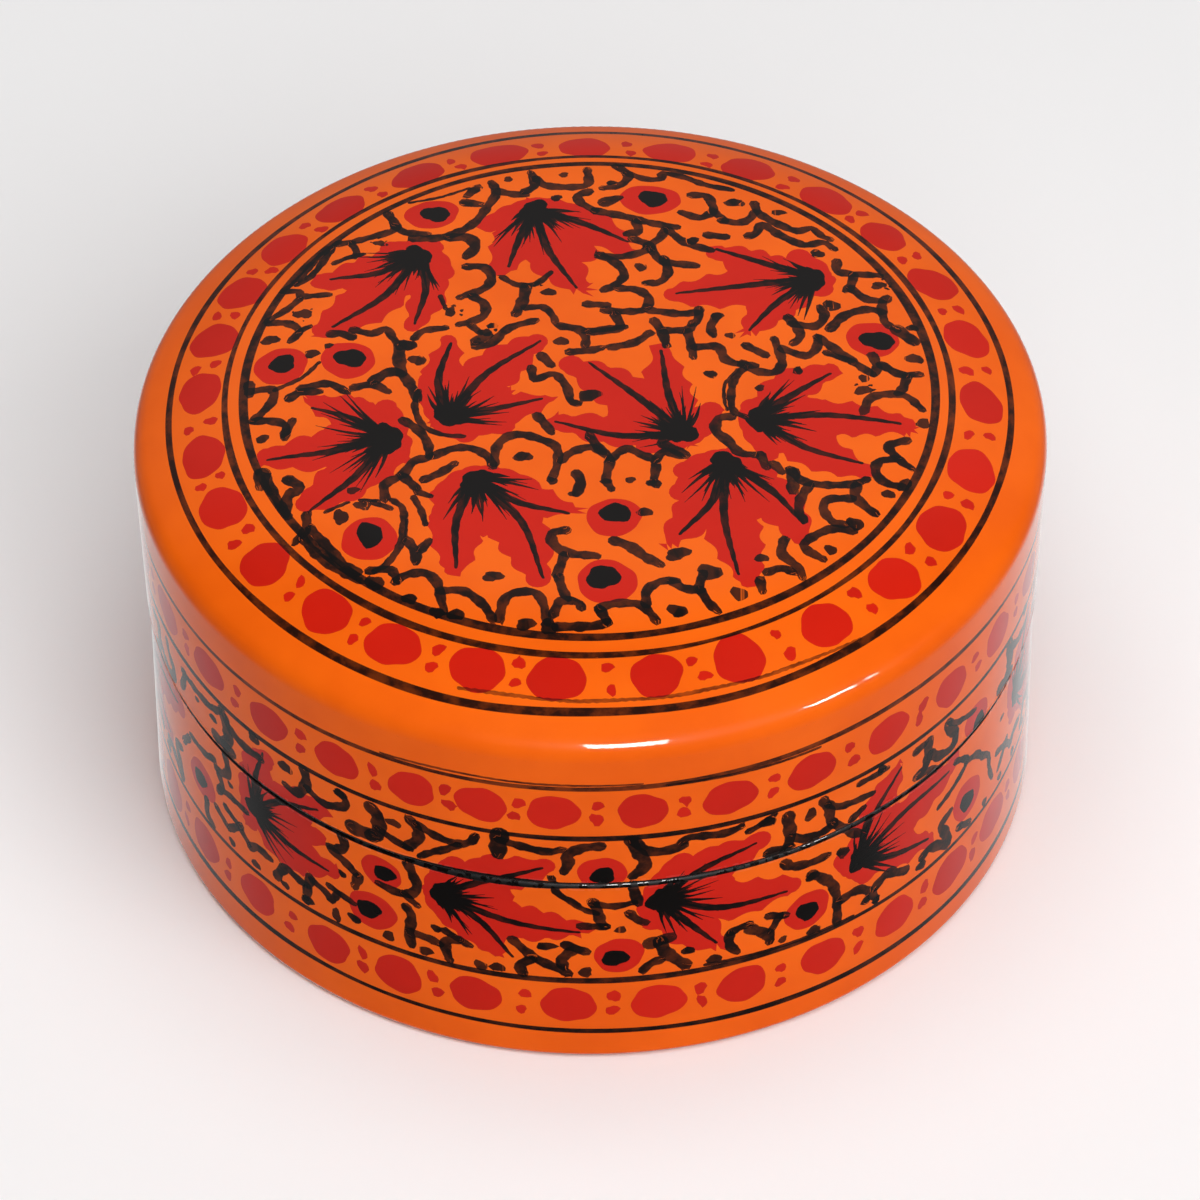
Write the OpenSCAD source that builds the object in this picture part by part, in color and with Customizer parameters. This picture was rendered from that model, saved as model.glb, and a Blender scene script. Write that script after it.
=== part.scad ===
// Round papier mache box with a crowned lid that lifts off an inner collar.
// Millimetres, +Z up, origin in the middle of the underside.
// The paper hoops and boards are glued face to face, under one skin of paint and varnish.

/* [Box] */
// Height of the closed box, up to the middle of the crowned top
box_h = 65.4; // [60:0.2:80]
// Smallest gap between the lid and what it slides over
lid_gap = 0.3; // [0.2:0.1:0.6]

/* [Lid] */
// Widest outside diameter of the lid, at its upper corner
lid_d = 121; // [101:1:151]
// Outside diameter of the lid at its lower edge
lid_edge_d = 119.6; // [100:0.2:150]
// Thickness of the lid's hoop at its lower edge, and of its moulded top
lid_t = 2.8; // [2:0.2:4]
// Radius of the round at the lid's upper corner
corner_r = 3.4; // [2:0.2:6]
// Height of the lid's upper corner, where the moulded top is glued on the lid's hoop
corner_z = 56.5; // [54:0.1:58]
// Radius of the wide shoulder between the corner and the crown
shoulder_r = 46; // [30:1:60]
// How steep the shoulder is at the corner, in degrees
shoulder_lean = 28.5; // [15:0.5:40]

/* [Base] */
// Height of the base, up to the edge that the lid rests on
base_h = 33; // [26:0.5:38]
// How far the lid stands proud of the base all round
lid_overhang = 0.4; // [0.2:0.1:1]
// Thickness of the floor board
floor_t = 3; // [2:0.5:4]
// Thickness of the felt disc on the floor
lining_t = 1; // [0.6:0.2:2]
// Gap round the felt disc
lining_gap = 0.3; // [0.2:0.1:1]

/* [Collar] */
// Thickness of the collar's paper hoop
collar_t = 1.6; // [1.2:0.2:2.4]
// How far the collar stands up above the base's edge, inside the lid
collar_rise = 8; // [5:0.5:12]

/* [Edges] */
// Radius of the painted edge round on each side of the seam
seam_edge_r = 0.75; // [0.3:0.05:1]
// Radius of the outer edge under the base
foot_edge_r = 1; // [0.3:0.1:1.5]

/* [Colours] */
// Lacquered outside
lacquer = "#f4690f"; // ["#f4690f", "#c8281c", "#1e0f08"]
// Plain painted collar and floor
inside_paint = "#221814"; // ["#221814", "#5a2d10", "#f4690f"]
// Felt on the floor
felt = "#6e1418"; // ["#6e1418", "#221814", "#27402a"]

/* [Hidden] */
$fn = 240;

lid_r = lid_d / 2;
lid_edge_r = lid_edge_d / 2;
lid_bore_r = lid_edge_r - lid_t;
collar_r = lid_bore_r - lid_gap;
collar_bore_r = collar_r - collar_t;
base_r = lid_edge_r - lid_overhang;

// The corner's round, the shoulder's wider round and the crown's ball touch one after the other.
corner_ring_r = lid_r - corner_r;
shoulder_ring_r = corner_ring_r - (shoulder_r - corner_r) * sin(shoulder_lean);
shoulder_z = corner_z - (shoulder_r - corner_r) * cos(shoulder_lean);
crown_over = box_h - shoulder_z;
crown_r = (pow(shoulder_ring_r, 2) + pow(crown_over, 2) - pow(shoulder_r, 2)) / (2 * (crown_over - shoulder_r));
crown_z = box_h - crown_r;
crown_fn = 2880;

// A ring's profile: its wall runs from bore to rim, and low to high.
module wall_profile(bore, rim, low, high) {
    translate([bore, low]) square([rim - bore, high - low]);
}

// What an edge round of radius r takes off a square corner at the origin, which points up and out.
module corner_waste(r) {
    difference() {
        translate([-r, -r]) square(2 * r);
        translate([-r, -r]) circle(r);
        translate([-2 * r, -r]) square([r, 2 * r]);
        translate([-r, -2 * r]) square([2 * r, r]);
    }
}

// Everything between a height and the lid's shoulder and crown, cut back by inset under them.
module under_top(inset, low) {
    // The shoulder, from the circle where it touches the crown to where it touches the corner's round
    touch_r = shoulder_ring_r * (crown_r - inset) / (crown_r - shoulder_r);
    end_r = corner_ring_r + (corner_r - inset) * sin(shoulder_lean);
    intersection() {
        translate([shoulder_ring_r, shoulder_z]) circle(shoulder_r - inset, $fn = 720);
        wall_profile(touch_r - 1, end_r, low, box_h);
    }
    // The crown
    intersection() {
        translate([0, crown_z]) circle(crown_r - inset, $fn = crown_fn);
        wall_profile(0, touch_r, low, box_h);
    }
}

module base_wall() {
    color(lacquer) rotate_extrude()
        difference() {
            wall_profile(collar_r, base_r, 0, base_h);
            translate([base_r, base_h]) corner_waste(seam_edge_r);
            translate([base_r, 0]) mirror([0, 1]) corner_waste(foot_edge_r);
        }
}

module base_floor() {
    color(inside_paint) cylinder(r = collar_r, h = floor_t);
}

module base_collar() {
    color(inside_paint) rotate_extrude() {
        wall_profile(collar_bore_r, collar_r, floor_t, base_h + collar_rise - collar_t / 2);
        translate([(collar_bore_r + collar_r) / 2, base_h + collar_rise - collar_t / 2])
            circle(collar_t / 2, $fn = 48);
    }
}

module floor_lining() {
    color(felt) translate([0, 0, floor_t]) cylinder(r = collar_bore_r - lining_gap, h = lining_t);
}

// The lid's hoop has an upright lower edge, then widens slightly up to the corner.
module lid_wall() {
    color(lacquer) rotate_extrude()
        difference() {
            polygon([
                [lid_bore_r, base_h],
                [lid_edge_r, base_h],
                [lid_edge_r, base_h + seam_edge_r],
                [lid_r, corner_z],
                [lid_bore_r, corner_z]
            ]);
            translate([lid_edge_r, base_h]) mirror([0, 1]) corner_waste(seam_edge_r);
        }
}

module lid_top() {
    color(lacquer) rotate_extrude()
        difference() {
            union() {
                under_top(0, corner_z);
                intersection() {
                    translate([corner_ring_r, corner_z]) circle(corner_r);
                    wall_profile(corner_ring_r, lid_r, corner_z, box_h);
                }
            }
            intersection() {
                under_top(lid_t, corner_z);
                wall_profile(0, lid_bore_r, corner_z, box_h);
            }
        }
}

base_wall();
base_floor();
base_collar();
floor_lining();
lid_wall();
lid_top();
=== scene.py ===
"""Round papier mache box, painted with leaves, berries and scrolls under lacquer.

Shapes and painting are laid out in millimetres and turned into metres when a piece is made.
The painting is drawn mark by mark on flat sheets, in the order of the brush. Each sheet is cut
into triangles along the edges of its marks and then wrapped over the box.
"""

import logging
import math
import random
from abc import ABC, abstractmethod
from dataclasses import dataclass, replace
from enum import Enum
from functools import cached_property
from typing import Callable, Sequence

import bpy
import numpy as np
from mathutils import Matrix, Vector
from mathutils.geometry import delaunay_2d_cdt
from mathutils.kdtree import KDTree


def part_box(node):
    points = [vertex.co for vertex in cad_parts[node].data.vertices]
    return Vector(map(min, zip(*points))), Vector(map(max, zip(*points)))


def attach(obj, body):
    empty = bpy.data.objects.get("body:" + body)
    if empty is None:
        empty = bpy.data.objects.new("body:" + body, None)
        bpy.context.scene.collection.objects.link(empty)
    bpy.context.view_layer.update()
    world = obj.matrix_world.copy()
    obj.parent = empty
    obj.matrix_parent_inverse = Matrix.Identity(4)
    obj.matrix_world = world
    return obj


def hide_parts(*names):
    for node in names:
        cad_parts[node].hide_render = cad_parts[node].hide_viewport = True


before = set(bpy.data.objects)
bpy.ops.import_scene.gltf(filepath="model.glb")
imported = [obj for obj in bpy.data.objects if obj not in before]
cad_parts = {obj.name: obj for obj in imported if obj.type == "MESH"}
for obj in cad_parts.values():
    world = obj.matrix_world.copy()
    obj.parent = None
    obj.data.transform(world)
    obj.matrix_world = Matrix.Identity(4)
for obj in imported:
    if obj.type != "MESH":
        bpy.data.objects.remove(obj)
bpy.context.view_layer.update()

log = logging.getLogger("box")

MM = 0.001
TAU = 2 * math.pi
CUT_DEGREES = 183.0  # where the side's painting is cut to be rolled out flat, counted from the front
Point = tuple[float, float]
Point3 = tuple[float, float, float]
Colour = tuple[float, float, float, float]
Array = np.ndarray
Outlines = list[tuple[Array, bool]]
Chart = Callable[[Array, Array], Array]


# ---------------------------------------------------------------- colours and finishes


def srgb(code: str) -> Colour:
    """Turns a colour as seen on a screen into the linear values that nodes take.

    Args:
        code: The colour, as "#rrggbb".

    Returns:
        Red, green, blue and alpha.
    """
    parts = [int(code[i : i + 2], 16) / 255 for i in (1, 3, 5)]
    r, g, b = (c / 12.92 if c <= 0.04045 else ((c + 0.055) / 1.055) ** 2.4 for c in parts)
    return (r, g, b, 1.0)


class Pigment(Enum):
    """What a mark is painted with."""

    RED = "red"
    INK = "ink"


@dataclass(frozen=True)
class LacquerFinish:
    """The painted outside: orange ground, red and ink brushwork, clear gloss varnish."""

    orange: str = "#f8670b"
    orange_deep: str = "#ef5f08"
    red: str = "#d6200b"
    red_deep: str = "#c11a0b"
    ink: str = "#0b0706"
    ink_thin: str = "#1f0e07"
    varnish_roughness: float = 0.03
    varnish_ior: float = 1.3
    ground_roughness: float = 0.42


@dataclass(frozen=True)
class InsideFinish:
    """Black distemper brushed on the inside, with the brown paper just showing through."""

    black: str = "#1a1412"
    brown: str = "#38241a"
    roughness: float = 0.5


@dataclass(frozen=True)
class FeltFinish:
    """Pressed wool felt."""

    wool: str = "#6e1418"
    dark: str = "#4a0c10"
    roughness: float = 0.95


# ---------------------------------------------------------------- sizes


def packed(node: str, axis: int) -> float:
    """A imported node's greatest coordinate along an axis, in millimetres."""
    return round(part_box(node)[1][axis] / MM, 3)


@dataclass(frozen=True)
class BoxSizes:
    """The box's sizes in millimetres and radians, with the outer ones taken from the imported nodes.

    Attributes:
        joint_z: Height of the joint between the lid's hoop and its crown.
        seam_z: Height of the seam between the base and the lid.
        lid_edge: Outer radius of the lid at its lower edge.
        lid_wall: Thickness of the lid.
        corner: Radius of the round at the lid's upper corner.
        corner_z: Height that this round is struck from.
        shoulder: Radius of the wide shoulder inside the corner.
        lean: How steep the shoulder is where it meets the corner.
        collar_wall: Thickness of the collar.
        lip_round: Radius of the round edges at the seam.
        foot_round: Radius of the round edge under the base.
    """

    height: float = packed("lid_top", 2)
    lid_radius: float = packed("lid_top", 0)
    base_radius: float = packed("base_wall", 0)
    joint_z: float = packed("lid_wall", 2)
    seam_z: float = packed("base_wall", 2)
    collar_radius: float = packed("base_collar", 0)
    collar_top: float = packed("base_collar", 2)
    floor_top: float = packed("base_floor", 2)
    felt_radius: float = packed("floor_lining", 0)
    felt_top: float = packed("floor_lining", 2)
    lid_edge: float = 59.8
    lid_wall: float = 2.8
    corner: float = 3.4
    corner_z: float = 56.5
    shoulder: float = 46.0
    lean: float = math.radians(28.5)
    collar_wall: float = 1.6
    lip_round: float = 0.75
    foot_round: float = 1.0

    @property
    def bore(self) -> float:
        """Inner radius of the lid."""
        return self.lid_edge - self.lid_wall

    @property
    def corner_ring(self) -> float:
        """Radius of the ring that the corner's round is struck from."""
        return self.lid_radius - self.corner

    @property
    def shoulder_ring(self) -> Point:
        """Radius and height of the ring that the shoulder is struck from."""
        reach = self.shoulder - self.corner
        return self.corner_ring - reach * math.sin(self.lean), self.corner_z - reach * math.cos(self.lean)

    @property
    def crown_radius(self) -> float:
        """Radius of the ball that the crowned top is part of."""
        r, z = self.shoulder_ring
        over = self.height - z
        return (r**2 + over**2 - self.shoulder**2) / (2 * (over - self.shoulder))

    @property
    def touch(self) -> float:
        """Lean of the surface where the crown meets the shoulder."""
        return math.asin(self.shoulder_ring[0] / (self.crown_radius - self.shoulder))

    def side(self, z: Array | float) -> Array | float:
        """Outer radius of the lid's side, which widens towards the corner.

        Args:
            z: Heights.

        Returns:
            The radii at those heights.
        """
        low = self.seam_z + self.lip_round
        share = (z - low) / (self.corner_z - low)
        return self.lid_edge + (self.lid_radius - self.lid_edge) * np.maximum(share, 0.0)


SIZES = BoxSizes()


def waver(theta: Array, seed: float, strength: float) -> Array:
    """A smooth unevenness round a circle, which ends where it starts.

    Args:
        theta: Angles in radians.
        seed: Picks one of many such curves.
        strength: Half of its range.

    Returns:
        The offsets at those angles.
    """
    total = np.zeros_like(theta)
    for k, share in ((2, 0.3), (3, 0.25), (5, 0.2), (9, 0.15), (17, 0.1)):
        total = total + share * np.sin(k * theta + seed * (k + 1.7))
    return strength * total


def round_box(theta: Array, r: Array | float, z: Array) -> Array:
    """Places in space at these angles from the front, radii and heights."""
    return np.stack([r * np.sin(theta), -r * np.cos(theta), z], axis=1)


def dent(theta: Array, z: Array) -> Array:
    """How far the hand-wound hoops fall short of true circles, in millimetres.

    Args:
        theta: Angles from the front in radians.
        z: Heights in millimetres.

    Returns:
        Depths, always inward.
    """
    return (
        0.01
        + 0.03 * (1 + np.sin(2 * theta + 0.7 + 0.012 * z))
        + 0.022 * (1 + np.sin(3 * theta + 2.1 - 0.03 * z))
        + 0.01 * (1 + np.sin(7 * theta + 4.0 + 0.11 * z))
    )


# ---------------------------------------------------------------- marks of the brush


def smooth_line(points: Sequence[Point], step: float) -> Array:
    """Draws a smooth curve through given points.

    Args:
        points: At least two points.
        step: Wanted distance between the curve's points.

    Returns:
        The curve's points, one row each.
    """
    p = np.array(points, float)
    p = np.vstack([2 * p[0] - p[1], p, 2 * p[-1] - p[-2]])
    rows = []
    for i in range(1, len(p) - 2):
        a, b, c, d = p[i - 1 : i + 3]
        n = max(2, int(math.ceil(np.linalg.norm(c - b) / step)))
        for t in np.arange(n) / n:
            rows.append(
                0.5 * (2 * b + (c - a) * t + (2 * a - 5 * b + 4 * c - d) * t**2 + (3 * b - a - 3 * c + d) * t**3)
            )
    rows.append(p[-2])
    return np.array(rows)


class Mark(ABC):
    """Something painted on a sheet."""

    pigment: Pigment
    load: float
    tone: float

    @abstractmethod
    def outlines(self, sheet: "Sheet") -> Outlines:
        """Finds the mark's edges.

        Args:
            sheet: The sheet that the mark is painted on.

        Returns:
            Lines of points, and whether each line is closed.
        """

    @abstractmethod
    def reach(self, sheet: "Sheet") -> tuple[float, float, float, float]:
        """Finds the box that the mark fits in.

        Args:
            sheet: The sheet that the mark is painted on.

        Returns:
            Least x, greatest x, least y and greatest y.
        """

    @abstractmethod
    def covers(self, sheet: "Sheet", spots: Array) -> Array:
        """Finds which spots are under the mark.

        Args:
            sheet: The sheet that the mark is painted on.
            spots: Places on the sheet, one row each.

        Returns:
            True for each spot that is under it.
        """

    @abstractmethod
    def brushed(self, sheet: "Sheet", spots: Array) -> Array:
        """Finds how the brush passed over spots.

        Args:
            sheet: The sheet that the mark is painted on.
            spots: Places on the sheet, one row each.

        Returns:
            For each spot: distance along the brush, place across it, dryness.
        """


@dataclass(frozen=True)
class Stroke(Mark):
    """One pull of the brush.

    Attributes:
        points: Places that the middle of the stroke runs through.
        width: Full width at its widest.
        start: Width at the start, as a share of the full width.
        end: Width at the end, as a share of the full width.
        belly: Where along it the stroke is widest, from 0 to 1.
        rough: Unevenness of its two edges, in millimetres.
        pitch: Length of one bump of that unevenness.
        press: How much its width changes along the way with the hand's pressure, from 0 to 1.
        toothed: Whether its edges have pointed teeth instead of scallops.
        dry: How far the ends run dry, from 0 to 1.
        load: How much paint the brush carries.
        tone: Picks a slightly different colour, from 0 to 1.
    """

    points: tuple[Point, ...]
    width: float = 1.35
    start: float = 0.95
    end: float = 0.85
    belly: float = 0.35
    rough: float = 0.07
    pitch: float = 1.7
    press: float = 0.0
    toothed: bool = False
    dry: float = 1.0
    pigment: Pigment = Pigment.INK
    load: float = 1.0
    tone: float = 0.5
    step: float = 0.55

    @cached_property
    def seed(self) -> float:
        """A number of the stroke's own."""
        (x, y) = self.points[0]
        return (abs(x) * 3.7 + abs(y) * 1.9 + self.width * 5.3) % 10

    @cached_property
    def line(self) -> Array:
        """The middle of the stroke."""
        return smooth_line(self.points, self.step)

    @cached_property
    def along(self) -> Array:
        """Distance along the stroke at each point of its line."""
        gaps = np.linalg.norm(np.diff(self.line, axis=0), axis=1)
        return np.concatenate([[0.0], np.cumsum(gaps)])

    @cached_property
    def halves(self) -> tuple[Array, Array]:
        """Half-widths on the left and on the right at each point of its line."""
        u = self.along
        t = u / u[-1]
        rise = np.clip(t / self.belly, 0, 1)
        fall = np.clip((1 - t) / (1 - self.belly), 0, 1)
        ease = lambda k: np.sin(k * math.pi / 2)
        share = np.where(
            t < self.belly,
            self.start + (1 - self.start) * ease(rise),
            self.end + (1 - self.end) * ease(fall),
        )
        pressure = 1 - self.press * (0.5 - 0.5 * np.cos(2.1 * u + 0.6 * np.sin(1.3 * u + self.seed)))
        half = share * pressure * self.width / 2
        sides = []
        for k in (0.0, 2.3):
            wave = np.abs(np.sin(math.pi * u / self.pitch + self.seed + k))
            wave = 1.1 - wave if self.toothed else wave
            slow = np.sin(u / (self.pitch * 1.7) + self.seed * 2 + k)
            sides.append(np.maximum(half + self.rough * (wave - 0.55) + self.rough * 0.5 * slow, 0.04))
        return sides[0], sides[1]

    @cached_property
    def normals(self) -> Array:
        """Directions to the left of the stroke."""
        d = np.gradient(self.line, axis=0)
        d /= np.linalg.norm(d, axis=1)[:, None] + 1e-9
        return np.stack([-d[:, 1], d[:, 0]], axis=1)

    def outlines(self, sheet: "Sheet") -> Outlines:
        """One closed line along both edges, with a round cap at each end."""
        left, right = self.halves
        n = self.normals
        caps = []
        for i, turn in ((-1, 1), (0, -1)):
            r = (left[i] + right[i]) / 2
            side = n[i] * turn
            out = np.array([side[1], -side[0]])
            angles = np.linspace(0, math.pi, max(3, int(r * 5)) + 1)[1:-1]
            caps.append([self.line[i] + r * (math.cos(a) * side + math.sin(a) * out) for a in angles])
        there, back = self.line + n * left[:, None], self.line - n * right[:, None]
        return [(np.vstack([there, caps[0], back[::-1], caps[1]]), True)]

    def reach(self, sheet: "Sheet") -> tuple[float, float, float, float]:
        """The box round its line, with room for its width."""
        pad = self.width / 2 + self.rough + 0.1
        lo, hi = self.line.min(0) - pad, self.line.max(0) + pad
        return lo[0], hi[0], lo[1], hi[1]

    def _nearest(self, spots: Array) -> tuple[Array, Array]:
        """Finds where spots lie by the nearest part of the stroke.

        Args:
            spots: Places on the sheet, one row each.

        Returns:
            Distances along the stroke, and places across it, which are -1 and 1 at its edges.
        """
        a, b = self.line[:-1], self.line[1:]
        d = b - a
        size = (d**2).sum(1) + 1e-12
        away = spots[:, None] - a[None]
        t = np.clip((away * d).sum(2) / size, 0, 1)
        gap = away - t[..., None] * d
        far = (gap**2).sum(2)
        i = far.argmin(1)
        rows = np.arange(len(spots))
        t, gap, d = t[rows, i], gap[rows, i], d[i]
        side = d[:, 0] * gap[:, 1] - d[:, 1] * gap[:, 0]
        left, right = self.halves
        half = np.where(side > 0, left[i] * (1 - t) + left[i + 1] * t, right[i] * (1 - t) + right[i + 1] * t)
        u = self.along[i] * (1 - t) + self.along[i + 1] * t
        return u, np.sign(side) * np.sqrt(far[rows, i]) / half

    def covers(self, sheet: "Sheet", spots: Array) -> Array:
        """Which spots lie between its two edges."""
        return np.abs(self._nearest(spots)[1]) < 1

    def brushed(self, sheet: "Sheet", spots: Array) -> Array:
        """Distance along it, place across it, and dryness, which grows at both ends."""
        u, v = self._nearest(spots)
        ends = np.minimum(u / 0.9, (self.along[-1] - u) / 1.6)
        dry = self.dry * 0.5 * (1 - np.clip(ends, 0, 1))
        return np.stack([u, np.clip(v, -1, 1), dry], axis=1)


@dataclass(frozen=True)
class Dab(Mark):
    """A spot pressed on with the brush.

    Attributes:
        centre: Its middle.
        rx: Half of its length.
        ry: Half of its breadth, or 0 for the same as its length.
        turn: Degrees that the length is turned from the x axis.
        wobble: Unevenness, as a share of its size.
        dry: How dry its rim is, from 0 to 1.
        load: How much paint the brush carries.
        tone: Picks a slightly different colour, from 0 to 1.
    """

    centre: Point
    rx: float
    ry: float = 0.0
    turn: float = 0.0
    wobble: float = 0.06
    dry: float = 0.0
    pigment: Pigment = Pigment.INK
    load: float = 1.3
    tone: float = 0.5

    @cached_property
    def seed(self) -> float:
        """A number of the dab's own."""
        return (abs(self.centre[0]) * 2.9 + abs(self.centre[1]) * 4.3 + self.rx) % 10

    def _rim(self, phi: Array) -> Array:
        """How far the uneven rim lies out at these angles, where 1 is even."""
        s = self.seed
        waves = np.sin(2 * phi + s) + 0.8 * np.sin(3 * phi + 2 * s) + 0.45 * np.sin(5 * phi + 3 * s)
        return 1 + self.wobble * (waves + 0.3 * np.sin(8 * phi + s))

    def _local(self, spots: Array) -> tuple[Array, Array]:
        """Turns spots into the dab's own directions.

        Args:
            spots: Places on the sheet, one row each.

        Returns:
            Places along its length and across it, in shares of its half sizes.
        """
        a = math.radians(self.turn)
        d = spots - np.array(self.centre)
        x = (d[:, 0] * math.cos(a) + d[:, 1] * math.sin(a)) / self.rx
        y = (d[:, 1] * math.cos(a) - d[:, 0] * math.sin(a)) / (self.ry or self.rx)
        return x, y

    def outlines(self, sheet: "Sheet") -> Outlines:
        """Its rim, with points about half a millimetre apart."""
        n = int(np.clip(TAU * self.rx / 0.5, 10, 48))
        phi = np.arange(n) * TAU / n
        r = self._rim(phi)
        x, y = r * np.cos(phi) * self.rx, r * np.sin(phi) * (self.ry or self.rx)
        a = math.radians(self.turn)
        loop = np.stack([x * math.cos(a) - y * math.sin(a), x * math.sin(a) + y * math.cos(a)], axis=1)
        return [(loop + np.array(self.centre), True)]

    def reach(self, sheet: "Sheet") -> tuple[float, float, float, float]:
        """A square that it fits in however it is turned."""
        r = max(self.rx, self.ry) * (1 + 2.6 * self.wobble) + 0.1
        x, y = self.centre
        return x - r, x + r, y - r, y + r

    def covers(self, sheet: "Sheet", spots: Array) -> Array:
        """Which spots lie inside its rim."""
        x, y = self._local(spots)
        return np.hypot(x, y) < self._rim(np.arctan2(y, x))

    def brushed(self, sheet: "Sheet", spots: Array) -> Array:
        """Distance along its length, share of the way to its rim, and dryness."""
        x, y = self._local(spots)
        rho = np.hypot(x, y) / self._rim(np.arctan2(y, x))
        return np.stack([x * self.rx, np.clip(rho, 0, 1), self.dry * rho], axis=1)


@dataclass(frozen=True)
class Band(Mark):
    """A line or strip painted all the way round while the box turns.

    Attributes:
        middle: Place of its middle: a radius on the crown, a height on a wall.
        width: Its mean width.
        shift: How far its circle is off centre on the crown, or its tilt on a wall.
        sway: Unevenness of its middle.
        swell: Unevenness of its width.
        seed: Picks its unevenness.
        dips: Where it swerves: degrees from the front, how far, and how many degrees to each side.
        load: How much paint the brush carries.
        tone: Picks a slightly different colour, from 0 to 1.
        dry: How dry it runs, from 0 to 1.
    """

    middle: float
    width: float = 1.0
    shift: Point = (0.0, 0.0)
    sway: float = 0.18
    swell: float = 0.16
    seed: float = 1.0
    dips: tuple[tuple[float, float, float], ...] = ()
    pigment: Pigment = Pigment.INK
    load: float = 1.0
    tone: float = 0.5
    dry: float = 0.15

    def _centre(self, theta: Array) -> Array:
        """Finds where the band's middle runs.

        Args:
            theta: Angles from the front, in radians.

        Returns:
            Radii on the crown, or heights on a wall.
        """
        place = self.middle + self.shift[0] * np.sin(theta) - self.shift[1] * np.cos(theta)
        for angle, depth, spread in self.dips:
            gap = (theta - math.radians(angle) + math.pi) % TAU - math.pi
            place = place + depth * np.exp(-((gap / math.radians(spread)) ** 2))
        return place + waver(theta, self.seed, self.sway)

    def _half(self, theta: Array) -> Array:
        """Half of the band's width at these angles."""
        return self.width / 2 + waver(theta, self.seed + 3.1, self.swell)

    def edges(self, theta: Array) -> tuple[Array, Array]:
        """The band's lower and upper edge at these angles."""
        c, h = self._centre(theta), self._half(theta)
        return c - h, c + h

    def outlines(self, sheet: "Sheet") -> Outlines:
        """Its lower and its upper edge."""
        theta, closed = sheet.round_trip()
        return [(sheet.trace(theta, edge), closed) for edge in self.edges(theta)]

    def reach(self, sheet: "Sheet") -> tuple[float, float, float, float]:
        """All of the sheet."""
        return -1e9, 1e9, -1e9, 1e9

    def _across(self, sheet: "Sheet", spots: Array) -> tuple[Array, Array]:
        """The spots' angles, and their places across the band, which are -1 and 1 at its edges."""
        theta, q = sheet.polar(spots)
        return theta, (q - self._centre(theta)) / self._half(theta)

    def covers(self, sheet: "Sheet", spots: Array) -> Array:
        """Which spots lie between its two edges."""
        return np.abs(self._across(sheet, spots)[1]) < 1

    def brushed(self, sheet: "Sheet", spots: Array) -> Array:
        """Distance along it, place across it, and dryness, which comes and goes."""
        theta, v = self._across(sheet, spots)
        dry = self.dry * (0.5 + 0.5 * np.sin(3 * theta + self.seed * 5))
        return np.stack([theta * SIZES.lid_radius, np.clip(v, -1, 1), dry], axis=1)


def splatter(centre: Point, size: float, specks: int = 4) -> list[Mark]:
    """A dab that was pressed on with a dry brush, with specks round it.

    Args:
        centre: The dab's middle.
        size: Half of its length.
        specks: How many specks it has.

    Returns:
        The dab and its specks.
    """
    draw = random.Random(round(abs(centre[0]) * 31 + abs(centre[1]) * 17 + specks))
    marks: list[Mark] = [Dab(centre, size, size * 0.85, turn=draw.uniform(0, 180), wobble=0.16)]
    for _ in range(specks):
        a, d = draw.uniform(0, TAU), size * draw.uniform(1.1, 1.75)
        spot = (centre[0] + d * math.cos(a), centre[1] + d * math.sin(a))
        marks.append(Dab(spot, draw.uniform(0.12, 0.3), wobble=0.2, turn=math.degrees(a)))
    return marks


@dataclass(frozen=True)
class Berry:
    """A red berry with a black eye, whose sizes are half of their length and half of their breadth."""

    centre: Point
    size: Point
    eye: Point
    eye_size: Point
    tone: float = 0.4

    def marks(self) -> tuple[list[Mark], list[Mark]]:
        """The berry's red marks and its black marks."""
        body = Dab(self.centre, *self.size, wobble=0.035, pigment=Pigment.RED, tone=self.tone)
        return [body], [Dab(self.eye, self.eye_size[0] * 1.15, self.eye_size[1] * 1.12, wobble=0.09, load=2.6)]


@dataclass(frozen=True)
class Lobe:
    """One finger of a leaf.

    Attributes:
        tip: Its far end.
        vein: End of its vein, or None for a lobe without one.
        width: Full width at its widest.
        bend: How far its middle line bows to the left, as a share of its length.
    """

    tip: Point
    vein: Point | None = None
    width: float = 7.0
    bend: float = 0.0


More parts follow.
